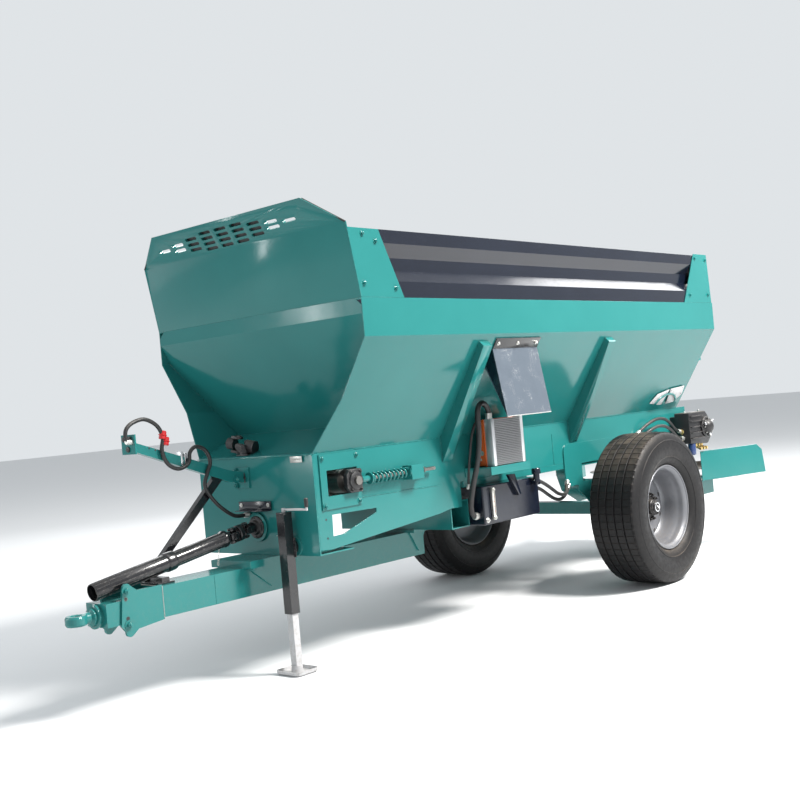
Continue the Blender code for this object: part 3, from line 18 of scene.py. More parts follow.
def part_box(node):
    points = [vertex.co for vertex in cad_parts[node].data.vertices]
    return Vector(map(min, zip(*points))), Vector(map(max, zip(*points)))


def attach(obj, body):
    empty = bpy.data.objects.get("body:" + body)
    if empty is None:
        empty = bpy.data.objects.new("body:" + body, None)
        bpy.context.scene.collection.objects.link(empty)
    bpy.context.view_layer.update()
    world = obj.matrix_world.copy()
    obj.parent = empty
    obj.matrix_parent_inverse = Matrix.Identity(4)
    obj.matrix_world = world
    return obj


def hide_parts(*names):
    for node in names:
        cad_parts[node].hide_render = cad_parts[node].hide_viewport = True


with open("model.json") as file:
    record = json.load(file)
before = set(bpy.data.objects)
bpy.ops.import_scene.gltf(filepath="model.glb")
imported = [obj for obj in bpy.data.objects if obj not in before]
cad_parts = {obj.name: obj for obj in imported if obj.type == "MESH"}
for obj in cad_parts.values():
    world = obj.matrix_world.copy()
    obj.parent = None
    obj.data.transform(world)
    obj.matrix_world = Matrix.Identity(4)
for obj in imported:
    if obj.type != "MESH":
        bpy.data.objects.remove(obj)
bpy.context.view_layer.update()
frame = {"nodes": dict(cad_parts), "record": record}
nodes = frame["nodes"]

# %% [markdown]
# Every length on this machine is easiest to read from its axle, so the origin of the lesson's
# own numbers is the axle. The model's origin lies under the middle of its box, and one shift
# joins the two. A small helper reads a node's box in the axle's numbers.

# %% Measure from the axle
axle_low, axle_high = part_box("axle_beam")
SHIFT = Vector(((axle_low.x + axle_high.x) / 2, 0.0, 0.0))
SIDES = (("left", 1.0), ("right", -1.0))


def node_box(name):
    low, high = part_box(name)
    return low - SHIFT, high - SHIFT


tyre_low, tyre_high = node_box("tyre_left")
WHEEL_Z = (tyre_low.z + tyre_high.z) / 2
WHEEL_Y = (tyre_low.y + tyre_high.y) / 2
TYRE_R = (tyre_high.z - tyre_low.z) / 2
TYRE_HALF = (tyre_high.y - tyre_low.y) / 2
RIM_Z = node_box("hopper_side_left")[1].z
HALF = node_box("hopper_side_left")[1].y
FRONT_X = node_box("front_plate")[1].x
TROUGH_Y = node_box("trough_frame")[1].y
print("axle at", round(SHIFT.x, 3), "rim at", round(RIM_Z, 3), "half width", round(HALF, 3))

# %% [markdown]
# The camera comes first, because every later choice is judged through it. It stands low and
# ahead of the left front corner, level with the trough, and leans a little, as a picture
# taken by hand does. A long lens keeps the hopper's sides nearly parallel.

# %% Camera
CAMERA_PLACE = Vector((7.160, 4.947, 1.431)) + SHIFT
CAMERA_HEADING = math.radians(221.55)
CAMERA_PITCH = math.radians(0.15)
CAMERA_LEAN = math.radians(-5.07)
LENS = 50.84

ahead = Vector((
    math.cos(CAMERA_HEADING) * math.cos(CAMERA_PITCH),
    math.sin(CAMERA_HEADING) * math.cos(CAMERA_PITCH),
    math.sin(CAMERA_PITCH),
))
turn = ahead.to_track_quat("-Z", "Y").to_matrix().to_4x4() @ Matrix.Rotation(CAMERA_LEAN, 4, "Z")
lens = bpy.data.cameras.new("camera")
lens.lens = LENS
lens.sensor_width = 36.0
lens.clip_end = 200.0
camera = bpy.data.objects.new("camera", lens)
camera.matrix_world = Matrix.Translation(CAMERA_PLACE) @ turn
bpy.context.scene.collection.objects.link(camera)
bpy.context.scene.camera = camera
print("camera at", [round(c, 2) for c in CAMERA_PLACE], "looks along", [round(c, 2) for c in ahead])

# %% [markdown]
# A studio for a shiny machine needs large, soft lamps, because gloss shows the lamps
# themselves. The sun of an open yard becomes one strong panel above the machine's left side.
# Weaker ones light it from above, from the rear and from the far side, and a fill and a narrow
# strip serve the front wall. The floor and the air are pale.

# %% Lamps
AIM = Vector((0.8, 0.0, 1.0)) + SHIFT
PLAIN_LIGHT = (1.0, 1.0, 1.0)
WARM_LIGHT = (1.0, 0.97, 0.93)
COOL_LIGHT = (0.95, 0.98, 1.0)


def lamp(name, place, size, power, colour=PLAIN_LIGHT):
    """A soft panel at a place in the axle's numbers, turned to the middle of the machine."""
    data = bpy.data.lights.new(name, "AREA")
    data.shape = "RECTANGLE"
    data.size, data.size_y = size
    data.energy = power
    data.color = colour
    made = bpy.data.objects.new(name, data)
    made.location = Vector(place) + SHIFT
    made.rotation_euler = (AIM - made.location).to_track_quat("-Z", "Y").to_euler()
    bpy.context.scene.collection.objects.link(made)


lamp("sun_panel", (-1.6, 7.2, 9.2), (3.0, 3.0), 3500.0, WARM_LIGHT)
lamp("top_panel", (0.5, 0.5, 8.0), (7.0, 4.5), 160.0)
lamp("front_fill", (9.5, -3.0, 3.6), (4.0, 4.0), 40.0, COOL_LIGHT)
lamp("front_strip", (8.6, -5.4, 3.2), (0.35, 5.0), 90.0)
lamp("rear_panel", (-10.5, 1.6, 8.2), (7.0, 3.0), 520.0)
lamp("far_side", (-3.0, -8.0, 5.0), (5.0, 4.0), 160.0)

# %% [markdown]
# Air and floor finish the studio. The air is a flat pale colour that fills every shadow a
# little, and the floor is one large plain sheet.

# %% Air and floor
AIR_TONE = (0.93, 0.97, 1.0)
AIR_STRENGTH = 0.80
FLOOR_HALF = 60.0
FLOOR_TONE = (0.62, 0.63, 0.64)
FLOOR_ROUGH = 0.75
FLOOR_SPECULAR = 0.2

world = bpy.data.worlds.new("air")
world.use_nodes = True
air = world.node_tree.nodes["Background"]
air.inputs["Color"].default_value = (*AIR_TONE, 1.0)
air.inputs["Strength"].default_value = AIR_STRENGTH
bpy.context.scene.world = world
bpy.context.scene.view_settings.view_transform = "Standard"

ground = bmesh.new()
bmesh.ops.create_grid(ground, x_segments=2, y_segments=2, size=FLOOR_HALF)
ground_mesh = bpy.data.meshes.new("floor")
ground.to_mesh(ground_mesh)
ground.free()
floor = bpy.data.objects.new("floor", ground_mesh)
floor_finish = bpy.data.materials.new("floor_pale")
floor_finish.use_nodes = True
floor_shader = floor_finish.node_tree.nodes["Principled BSDF"]
floor_shader.inputs["Base Color"].default_value = (*FLOOR_TONE, 1.0)
floor_shader.inputs["Roughness"].default_value = FLOOR_ROUGH
floor_shader.inputs["Specular IOR Level"].default_value = FLOOR_SPECULAR
ground_mesh.materials.append(floor_finish)
bpy.context.scene.collection.objects.link(floor)
print("floor", floor.name)

# %% [markdown]
# Finishes come next. What several finishes share is made once, as a node group that gives out
# only a mask: patches of slightly different tone, dust that settles on what faces up and near
# the ground, edges (bare metal on most finishes, a painted highlight on the teal), and fine
# scratches. Each finish then mixes those masks its own way.

# %% Start a shader group


def shader_group(name, inputs, outputs):
    """An empty node group with number inputs, (label, value), and number outputs."""
    tree = bpy.data.node_groups.new(name, "ShaderNodeTree")
    for label, value in inputs:
        made = tree.interface.new_socket(label, in_out="INPUT", socket_type="NodeSocketFloat")
        made.default_value = value
    for label in outputs:
        tree.interface.new_socket(label, in_out="OUTPUT", socket_type="NodeSocketFloat")
    return tree, tree.nodes.new("NodeGroupInput"), tree.nodes.new("NodeGroupOutput")


def add(tree, kind, **settings):
    """A node with its settings. A key that names an input sets that input's value."""
    made = tree.nodes.new(kind)
    for key, value in settings.items():
        label = key.replace("_", " ").title()
        if hasattr(made, key):
            setattr(made, key, value)
        else:
            made.inputs[label].default_value = value
    return made


def maths(tree, operation, first, second=None, clamp=False):
    """A Math node fed by sockets or plain numbers; gives its output socket."""
    made = tree.nodes.new("ShaderNodeMath")
    made.operation = operation
    made.use_clamp = clamp
    for slot, value in zip(made.inputs, (first, second)):
        if isinstance(value, bpy.types.NodeSocket):
            tree.links.new(value, slot)
        elif value is not None:
            slot.default_value = value
    return made.outputs[0]


print("node helpers ready")

# %% Ranges and noise


def remap(tree, value, low, high, to_low=0.0, to_high=1.0):
    """A Map Range node; what lies between low and high is spread from to_low to to_high."""
    made = tree.nodes.new("ShaderNodeMapRange")
    tree.links.new(value, made.inputs["Value"])
    ends = (("From Min", low), ("From Max", high), ("To Min", to_low), ("To Max", to_high))
    for label, number in ends:
        made.inputs[label].default_value = number
    return made.outputs["Result"]


def noise(tree, scale, detail=3.0, rough=0.55, stretch=(1.0, 1.0, 1.0)):
    """Noise on the piece's Object coordinates, stretched along its axes."""
    where = tree.nodes.new("ShaderNodeTexCoord")
    mapping = tree.nodes.new("ShaderNodeMapping")
    mapping.inputs["Scale"].default_value = stretch
    tree.links.new(where.outputs["Object"], mapping.inputs["Vector"])
    made = add(tree, "ShaderNodeTexNoise", scale=scale, detail=detail, roughness=rough)
    tree.links.new(mapping.outputs["Vector"], made.inputs["Vector"])
    return made.outputs["Fac"]


print("range and noise helpers ready")

# %% Group: patches of tone


def patches_group():
    tree, enter, leave = shader_group("patches", (("Spread", 0.5),), ("Patch", "Fine"))
    wide = remap(tree, noise(tree, 1.7, 4.0), 0.32, 0.68)
    fine = remap(tree, noise(tree, 38.0, 4.0, 0.65), 0.35, 0.65)
    spread = maths(tree, "MULTIPLY", wide, enter.outputs["Spread"])
    tree.links.new(spread, leave.inputs["Patch"])
    tree.links.new(fine, leave.inputs["Fine"])
    return tree


PATCHES = patches_group()
print("group", PATCHES.name)

# %% Group: dust and splashes


def dust_group():
    """Dust lies on faces that look up, and road dirt is splashed on what is near the ground."""
    inputs = (("Top", 0.35), ("Low", 0.35), ("Reach", 0.9))
    tree, enter, leave = shader_group("dust", inputs, ("Dust",))
    where = tree.nodes.new("ShaderNodeNewGeometry")
    normal = tree.nodes.new("ShaderNodeSeparateXYZ")
    tree.links.new(where.outputs["Normal"], normal.inputs["Vector"])
    up = remap(tree, normal.outputs["Z"], 0.35, 0.95)
    cloud = remap(tree, noise(tree, 7.0, 6.0, 0.65), 0.38, 0.70)
    top = maths(tree, "MULTIPLY", maths(tree, "MULTIPLY", up, cloud), enter.outputs["Top"])
    place = tree.nodes.new("ShaderNodeTexCoord")
    height = tree.nodes.new("ShaderNodeSeparateXYZ")
    tree.links.new(place.outputs["Object"], height.inputs["Vector"])
    share = maths(tree, "DIVIDE", height.outputs["Z"], enter.outputs["Reach"])
    near = maths(tree, "SUBTRACT", 1.0, share, clamp=True)
    specks = remap(tree, noise(tree, 55.0, 5.0, 0.7), 0.48, 0.66)
    splash = maths(tree, "MULTIPLY", maths(tree, "MULTIPLY", near, specks), enter.outputs["Low"])
    tree.links.new(maths(tree, "ADD", top, splash, clamp=True), leave.inputs["Dust"])
    return tree


DUST = dust_group()
print("group", DUST.name)

# %% Group: bare edges and painted edge highlights
EDGE_REACH = 0.004

def edge_group():
    """The bevelled normal differs from the true one only near an edge, and noise breaks it up."""
    tree, enter, leave = shader_group("worn_and_highlit_edges", (("Amount", 0.5),), ("Edge",))
    bevel = tree.nodes.new("ShaderNodeBevel")
    bevel.samples = 4
    bevel.inputs["Radius"].default_value = EDGE_REACH
    true = tree.nodes.new("ShaderNodeNewGeometry")
    both = tree.nodes.new("ShaderNodeVectorMath")
    both.operation = "DOT_PRODUCT"
    tree.links.new(bevel.outputs["Normal"], both.inputs[0])
    tree.links.new(true.outputs["Normal"], both.inputs[1])
    near = remap(tree, both.outputs["Value"], 0.995, 0.90)
    edge_breakup = remap(tree, noise(tree, 46.0, 5.0, 0.7), 0.50, 0.60)
    near_edge_broken = maths(tree, "MULTIPLY", near, edge_breakup)
    wear_and_highlight = maths(tree, "MULTIPLY", near_edge_broken, enter.outputs["Amount"], clamp=True)
    tree.links.new(wear_and_highlight, leave.inputs["Edge"])
    return tree


EDGES = edge_group()
print("group", EDGES.name)

# %% Group: scratches
SCRATCH_STRETCH = ((9.0, 1.0, 2.0), (2.0, 1.5, 11.0))
SCRATCH_THIN = 0.006

def scratch_group():
    """Thin lines where stretched noise crosses its middle value."""
    tree, enter, leave = shader_group("scratches", (("Amount", 0.4),), ("Scratch",))
    found = None
    for stretch in SCRATCH_STRETCH:
        cloud = noise(tree, 6.0, 2.0, 0.5, stretch)
        line = maths(tree, "ABSOLUTE", maths(tree, "SUBTRACT", cloud, 0.5))
        thin = remap(tree, line, 0.0, SCRATCH_THIN, 1.0, 0.0)
        found = thin if found is None else maths(tree, "MAXIMUM", found, thin)
    broken = remap(tree, noise(tree, 9.0, 3.0), 0.52, 0.60)
    lines = maths(tree, "MULTIPLY", maths(tree, "MULTIPLY", found, broken), enter.outputs["Amount"])
    tree.links.new(lines, leave.inputs["Scratch"])
    return tree


SCRATCHES = scratch_group()
print("group", SCRATCHES.name)

# %% [markdown]
# A finish is one function: a base tone, a second tone for the patches, dust, an edge tone (worn
# metal, and on the teal a painted highlight) and scratches, then roughness and a little bump.
# Values that are the same all over, such as the clear coat's roughness, are set straight on the
# shader, because only patterns need nodes.

# %% Build a finish
DUST_TONE = (0.190, 0.160, 0.120)
STEEL_TONE = (0.420, 0.420, 0.430)
GLOSS_LOW, GLOSS_HIGH = 0.85, 1.2
SCRATCH_ROUGH = 0.25
EDGE_ROUGH = 0.15
DUST_ROUGH = 0.5
WAVE_SCALE = 2.3


def mix(tree, factor, first, second):
    """Colour mix; first and second are sockets or (r, g, b)."""
    made = tree.nodes.new("ShaderNodeMix")
    made.data_type = "RGBA"
    slots = (made.inputs[0], made.inputs[6], made.inputs[7])
    for slot, value in zip(slots, (factor, first, second)):
        if isinstance(value, bpy.types.NodeSocket):
            tree.links.new(value, slot)
        else:
            slot.default_value = value if isinstance(value, float) else (*value, 1.0)
    return made.outputs[2]


def use(tree, group, output, **values):
    """Places a shared group with its own values; gives one of its outputs."""
    made = tree.nodes.new("ShaderNodeGroup")
    made.node_tree = group
    for key, value in values.items():
        made.inputs[key.title()].default_value = value
    return made.outputs[output]


def finish(name, tone, second, rough, metallic=0.0, coat=0.0, coat_rough=0.1, patch=0.5,
           top=0.3, low=0.3, reach=0.9, edge=0.0, edge_tone=STEEL_TONE, scratch=0.0,
           scratch_tone=STEEL_TONE, peel=0.0, peel_scale=220.0, wave=0.0, dust_tone=DUST_TONE,
           specular=0.5):
    """A paint or metal: top and low are its dust and splashes, peel and wave its two bumps."""
    made = bpy.data.materials.new(name)
    made.use_nodes = True
    tree = made.node_tree
    shader = tree.nodes["Principled BSDF"]
    colour = mix(tree, use(tree, PATCHES, "Patch", spread=patch), tone, second)
    fine = use(tree, PATCHES, "Fine")
    gloss = remap(tree, fine, 0.0, 1.0, rough * GLOSS_LOW, rough * GLOSS_HIGH)
    if scratch:
        lines = use(tree, SCRATCHES, "Scratch", amount=scratch)
        colour = mix(tree, lines, colour, scratch_tone)
        gloss = maths(tree, "ADD", gloss, maths(tree, "MULTIPLY", lines, SCRATCH_ROUGH))
    if edge:
        edge_wear_and_highlight = use(tree, EDGES, "Edge", amount=edge)
        colour = mix(tree, edge_wear_and_highlight, colour, edge_tone)
        gloss = maths(tree, "ADD", gloss, maths(tree, "MULTIPLY", edge_wear_and_highlight, EDGE_ROUGH))
    dust = use(tree, DUST, "Dust", top=top, low=low, reach=reach)
    colour = mix(tree, dust, colour, dust_tone)
    gloss = maths(tree, "ADD", gloss, maths(tree, "MULTIPLY", dust, DUST_ROUGH), clamp=True)
    tree.links.new(colour, shader.inputs["Base Color"])
    tree.links.new(gloss, shader.inputs["Roughness"])
    shader.inputs["Metallic"].default_value = metallic
    shader.inputs["Specular IOR Level"].default_value = specular
    if coat:
        shine = maths(tree, "MULTIPLY", maths(tree, "SUBTRACT", 1.0, dust), coat)
        tree.links.new(shine, shader.inputs["Coat Weight"])
        shader.inputs["Coat Roughness"].default_value = coat_rough
    relief(tree, shader, peel, peel_scale, wave)
    return made


def relief(tree, shader, peel, peel_scale, wave):
    """Bump from a fine grain and, on large panels, a slow wave that bends reflections."""
    last = None
    for depth, scale, detail in ((peel, peel_scale, 2.0), (wave, WAVE_SCALE, 1.0)):
        if not depth:
            continue
        bump = tree.nodes.new("ShaderNodeBump")
        bump.inputs["Strength"].default_value = 1.0
        bump.inputs["Distance"].default_value = depth
        tree.links.new(noise(tree, scale, detail), bump.inputs["Height"])
        if last:
            tree.links.new(last, bump.inputs["Normal"])
        last = bump.outputs["Normal"]
    if last:
        tree.links.new(last, shader.inputs["Normal"])


print("finish helper ready")

# %% The machine's paints
# The teal's edge tone is a lighter teal: a painted highlight along its edges, broken up by noise.
TEAL = finish("teal_gloss", (0.012, 0.138, 0.133), (0.017, 0.160, 0.154), 0.13,
              patch=0.6, top=0.05, low=0.22, reach=0.70, edge=0.35,
              edge_tone=(0.120, 0.400, 0.360), peel=0.00003, peel_scale=160.0, wave=0.0045,
              specular=0.36)
NAVY = finish("navy_boards", (0.004, 0.006, 0.013), (0.006, 0.009, 0.018), 0.16,
              top=0.01, low=0.05, edge=0.4, edge_tone=(0.10, 0.11, 0.14), peel=0.00003,
              wave=0.0035, scratch=0.10, scratch_tone=(0.10, 0.12, 0.16))
BLACK = finish("black_gloss", (0.006, 0.006, 0.008), (0.010, 0.010, 0.012), 0.22,
               coat=0.3, coat_rough=0.12, top=0.08, low=0.15, edge=0.5,
               edge_tone=(0.18, 0.17, 0.16), peel=0.00005)
SILVER = finish("silver_rim", (0.160, 0.165, 0.180), (0.125, 0.130, 0.145), 0.36,
                metallic=0.35, top=0.20, low=0.45, reach=0.8, edge=0.2, peel=0.00006)
WHITE = finish("white_enamel", (0.430, 0.430, 0.440), (0.360, 0.360, 0.370), 0.34,
               coat=0.3, top=0.25, low=0.4, edge=0.4, edge_tone=(0.30, 0.22, 0.16),
               peel=0.00004)
ORANGE = finish("orange_housing", (0.560, 0.095, 0.008), (0.460, 0.075, 0.007), 0.40,
                coat=0.3, top=0.3, edge=0.5, edge_tone=(0.45, 0.30, 0.20), peel=0.00005)
RED = finish("red_caps", (0.520, 0.012, 0.016), (0.400, 0.010, 0.012), 0.42,
             top=0.3, peel=0.0001)
BLUE = finish("blue_filter", (0.010, 0.030, 0.110), (0.012, 0.036, 0.130), 0.32,
              coat=0.4, top=0.3)
print("paints done")

# %% The machine's metals
SHIELD = finish("shield_steel", (0.110, 0.136, 0.168), (0.150, 0.178, 0.216), 0.36,
                metallic=0.55, top=0.1, edge=0.6, edge_tone=(0.5, 0.5, 0.5), scratch=0.9,
                scratch_tone=(0.50, 0.50, 0.50), peel=0.00003, wave=0.001)
CAST = finish("black_cast_iron", (0.010, 0.010, 0.012), (0.022, 0.021, 0.021), 0.42,
              top=0.35, low=0.4, edge=0.8, edge_tone=(0.25, 0.24, 0.23), peel=0.0004,
              peel_scale=120.0)
STEEL = finish("worked_steel", (0.250, 0.245, 0.235), (0.140, 0.120, 0.100), 0.34,
               metallic=0.9, top=0.25, low=0.2, edge=0.4, scratch=0.3, peel=0.00005, patch=0.8)
ZINC = finish("zinc_plate", (0.620, 0.620, 0.600), (0.500, 0.490, 0.450), 0.30,
              metallic=0.95, top=0.15, low=0.3, peel=0.00003)
ALLOY = finish("cooler_alloy", (0.640, 0.650, 0.670), (0.520, 0.520, 0.530), 0.34,
               metallic=0.85, top=0.3, low=0.2, peel=0.00008)
BRASS = finish("brass_fittings", (0.700, 0.500, 0.200), (0.560, 0.400, 0.170), 0.32,
               metallic=0.95, top=0.3)
CHROME = finish("chrome", (0.800, 0.810, 0.830), (0.700, 0.700, 0.720), 0.10,
                metallic=1.0, top=0.15)
print("metals done")

# %% Rubber and the gauge's tube
RUBBER = finish("tyre_rubber", (0.006, 0.006, 0.007), (0.011, 0.010, 0.010), 0.50,
                top=0.75, low=0.06, reach=1.3, dust_tone=(0.130, 0.105, 0.082), peel=0.0002,
                peel_scale=260.0, specular=0.25)
HOSE = finish("hose_rubber", (0.010, 0.010, 0.011), (0.018, 0.018, 0.018), 0.45,
              top=0.4, low=0.3, peel=0.0003, peel_scale=500.0)
GLASS = finish("gauge_tube", (0.620, 0.600, 0.540), (0.700, 0.690, 0.640), 0.10,
               coat=0.8, top=0.1)
print("finishes:", len(bpy.data.materials))

# %% [markdown]
# The model's own plates stay where their shape is right. Their mesh is never edited, but a
# plate of sheet steel has edges that catch light, so each gets a Weld modifier, because its
# triangles are loose, and a narrow Bevel that only works on sharp corners.

# %% Finish the model's own plates
SLOT_FINISH = {
    "teal_paint": TEAL, "navy_steel": NAVY, "shield_steel": SHIELD, "black_paint": BLACK,
    "bare_steel": STEEL, "silver_paint": SILVER, "white_paint": WHITE, "tyre_rubber": RUBBER,
    "hose_rubber": HOSE, "orange_shroud": ORANGE,
}
SLOT_OF = {part["node"]: part["material_slot"] for part in frame["record"]["subparts"]}
TINY = 0.00002
PLATE_ROUND, PLATE_SHARP = 0.0012, 34


def round_edges(made, width, sharp):
    """A narrow Bevel modifier on the corners that are sharper than so many degrees."""
    edges = made.modifiers.new("Edges", "BEVEL")
    edges.width = width
    edges.segments = 2
    edges.limit_method = "ANGLE"
    edges.angle_limit = math.radians(sharp)


def dress_plate(name, plate):
    slot = SLOT_OF[name]
    plate.data.materials.clear()
    plate.data.materials.append(SLOT_FINISH[slot])
    plate.modifiers.new("Weld", "WELD").merge_threshold = TINY
    round_edges(plate, PLATE_ROUND, PLATE_SHARP)
    return slot


used = [dress_plate(name, plate) for name, plate in nodes.items()]
print({slot: used.count(slot) for slot in sorted(set(used))})

# %% [markdown]
# New pieces are drawn with bmesh operators. Four shapes cover most of a machine: a block with
# softened edges, a rod, a turned shape, and a flat plate pushed out to a thickness. Each is
# drawn round the axle's numbers, and is shifted once, when it becomes an object.

# %% Blocks and rods


def edges_of(verts):
    """Each edge once, in the order in which the vertices list them."""
    return list(dict.fromkeys(edge for vert in verts for edge in vert.link_edges))


def soften(bm, edges, width, segments=2):
    bmesh.ops.bevel(bm, geom=list(edges), offset=width, offset_type="OFFSET", affect="EDGES",
                    segments=segments, profile=0.5, material=-1, clamp_overlap=True)


def block(bm, low, high, round_over=0.0):
    """A box between two corners. Its vertices are given back for use while its edges are sharp."""
    low, high = Vector(low), Vector(high)
    size = Matrix.Diagonal((*(high - low), 1.0))
    made = bmesh.ops.create_cube(bm, size=1.0, matrix=Matrix.Translation((low + high) / 2) @ size)
    if round_over:
        soften(bm, edges_of(made["verts"]), round_over)
    return made["verts"]


def along(start, end):
    """A frame whose Z runs from start to end, centred between them."""
    start, end = Vector(start), Vector(end)
    turn = (end - start).to_track_quat("Z", "Y").to_matrix().to_4x4()
    return Matrix.Translation((start + end) / 2) @ turn, (end - start).length


def rod(bm, start, end, radius, steps=20, end_radius=None, chamfer=0.0):
    """A round bar, or a cone where end_radius differs; six steps make a nut."""
    place, length = along(start, end)
    made = bmesh.ops.create_cone(
        bm, cap_ends=True, segments=steps, radius1=radius,
        radius2=radius if end_radius is None else end_radius, depth=length, matrix=place,
    )
    if chamfer:
        ends = [edge for edge in edges_of(made["verts"])
                if any(len(face.verts) > 4 for face in edge.link_faces)]
        soften(bm, ends, chamfer, 1)


print("block and rod ready")

# %% Turned shapes and plates


def turned(bm, profile, centre, axis, steps, ring=False):
    """Spins (radius, along) points about the axis; a ring's profile is closed."""
    axis = Vector(axis).normalized()
    side = axis.orthogonal().normalized()
    points = [bm.verts.new(Vector(centre) + side * r + axis * a) for r, a in profile]
    pairs = zip(points, points[1:] + points[:1] if ring else points[1:])
    edges = [bm.edges.new(pair) for pair in pairs]
    bmesh.ops.spin(bm, geom=points + edges, cent=centre, axis=axis, angle=math.tau, steps=steps,
                   use_merge=True)
    bmesh.ops.remove_doubles(bm, verts=bm.verts, dist=TINY)


def plate(bm, corners, depth, round_over=0.0):
    """A flat outline of 3D corners pushed out by the vector depth."""
    face = bm.faces.new([bm.verts.new(corner) for corner in corners])
    grown = bmesh.ops.extrude_face_region(bm, geom=[face])
    moved = [item for item in grown["geom"] if isinstance(item, bmesh.types.BMVert)]
    bmesh.ops.translate(bm, verts=moved, vec=depth)
    if round_over:
        soften(bm, edges_of(moved), round_over)


def arc(centre, radius, start, end, steps):
    """(a, b) points of an arc, angles in degrees."""
    turns = [math.radians(start + (end - start) * i / steps) for i in range(steps + 1)]
    return [(centre[0] + radius * math.cos(t), centre[1] + radius * math.sin(t)) for t in turns]


print("turned shape, plate and arc ready")

# %% Directions round a circle, and a spring


def spoke(angle, first=Vector((1, 0, 0)), second=Vector((0, 0, 1))):
    """Unit direction at an angle in the plane of two directions; the wheel's plane unless told."""
    return first * math.cos(angle) + second * math.sin(angle)


def spokes(count, start=0.0, first=Vector((1, 0, 0)), second=Vector((0, 0, 1))):
    """Evenly spaced unit directions; start is a share of one step."""
    return [spoke(math.tau * (i + start) / count, first, second) for i in range(count)]


def helix(bm, centre, axis, radius, wire, turns, rise, steps=18, sides=8):
    """A coil spring: a small ring spun round the axis while it climbs."""
    axis = Vector(axis).normalized()
    side = axis.orthogonal().normalized()
    place = Matrix.Translation(Vector(centre) + side * radius)
    stand = axis.cross(side).to_track_quat("Z", "Y").to_matrix().to_4x4()
    ring = bmesh.ops.create_circle(bm, segments=sides, radius=wire, matrix=place @ stand)
    count = round(turns * steps)
    geom = ring["verts"] + edges_of(ring["verts"])
    bmesh.ops.spin(bm, geom=geom, cent=centre, axis=axis, dvec=axis * (rise / count),
                   angle=math.tau * turns, steps=count, use_merge=False)
    bmesh.ops.holes_fill(bm, edges=[edge for edge in bm.edges if edge.is_boundary], sides=sides)


print("spokes and spring ready")

# %% Make an object
made_pieces = []


def piece(bm, name, body, look, smooth=38.0, replaces=()):
    """Turns a bmesh in the axle's numbers into a finished piece that rides on a body."""
    bmesh.ops.remove_doubles(bm, verts=bm.verts, dist=TINY)
    bmesh.ops.recalc_face_normals(bm, faces=bm.faces)
    bmesh.ops.translate(bm, verts=bm.verts, vec=SHIFT)
    mesh = bpy.data.meshes.new(name)
    bm.to_mesh(mesh)
    bm.free()
    mesh.materials.append(look)
    mesh.shade_smooth()
    mesh.set_sharp_from_angle(angle=math.radians(smooth))
    made = bpy.data.objects.new(name, mesh)
    bpy.context.scene.collection.objects.link(made)
    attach(made, body)
    if replaces:
        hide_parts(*replaces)
    made_pieces.append(name)
    return made


print("piece maker ready")

# %% [markdown]
# Bolts hold every plate, and there are well over a hundred. Each is a washer, a six-sided head
# with a chamfered top and the thread's end: few faces, because it is repeated so often. Its
# measures are shares of the width across the flats. All the bolts of one plate share one mesh.

# %% Bolts
WASHER_HIGH, WASHER_WIDE = 0.14, 0.98
HEAD_LEVELS = (0.0, 0.50, 0.56, 0.80)
CHAMFER_FOOT, CHAMFER_TOP = 0.86, 0.70
THREAD_FOOT, THREAD_TIP = 0.30, 0.24


def bolt(bm, place, axis, across=0.019, washer=True):
    place, axis = Vector(place), Vector(axis).normalized()
    corner = across / 2 / math.cos(math.pi / 6)
    base = across * WASHER_HIGH if washer else 0.0
    if washer:
        rod(bm, place, place + axis * base, across * WASHER_WIDE, 16)
    levels = [place + axis * (base + across * share) for share in HEAD_LEVELS]
    rod(bm, levels[0], levels[1], corner, 6)
    rod(bm, levels[1], levels[2], corner * CHAMFER_FOOT, 12, corner * CHAMFER_TOP)
    rod(bm, levels[2], levels[3], across * THREAD_FOOT, 10, across * THREAD_TIP)


def bolts(name, places, axis, look, across=0.019):
    bm = bmesh.new()
    for place in places:
        bolt(bm, place, axis, across)
    piece(bm, name, "frame", look)


BRACKET_FRONT = [(2.661, 2.309), (2.525, 2.058), (2.760, 2.345), (2.775, 2.080)]
BRACKET_REAR = [(-1.021, 2.352), (-0.895, 2.064), (-1.195, 2.345), (-1.195, 2.070)]
for tag, sign in SIDES:
    places = [(x, sign * HALF, z) for x, z in BRACKET_FRONT + BRACKET_REAR]
    bolts(f"bracket_bolts_{tag}", places, (0, sign, 0), TEAL, 0.017)
print("bolts on the corner brackets")

# %% [markdown]
# The tyre is a wide highway tyre. Spinning its outline gives four grooves between five ribs.
# For the cuts across the ribs, every second ring of points is moved close to its neighbour.
# That leaves narrow strips of faces, which are inset and pushed in.

# %% Tyre measures
TREAD_STEPS = 132
STRIP_SHIFT = 0.82
STRIP_WIDE = 0.008
RIB_FACE = 0.00005
RIB_BAND = 0.0085
CUT_DEEP = 0.004
CUT_RIM = 0.0004
CUT_SQUEEZE = 0.86
GROOVE_DEEP = 0.009
GROOVES = (-0.092, -0.031, 0.031, 0.092)
GROOVE_HALF = 0.0055
TREAD_HALF = 0.150
SHOULDER_FROM, SHOULDER_TO, SHOULDER_R = 0.1495, 0.163, 0.517
CROWN_DROP = 0.0060
BEAD = [(0.3005, 0.1435), (0.2850, 0.1405), (0.2850, 0.1250)]
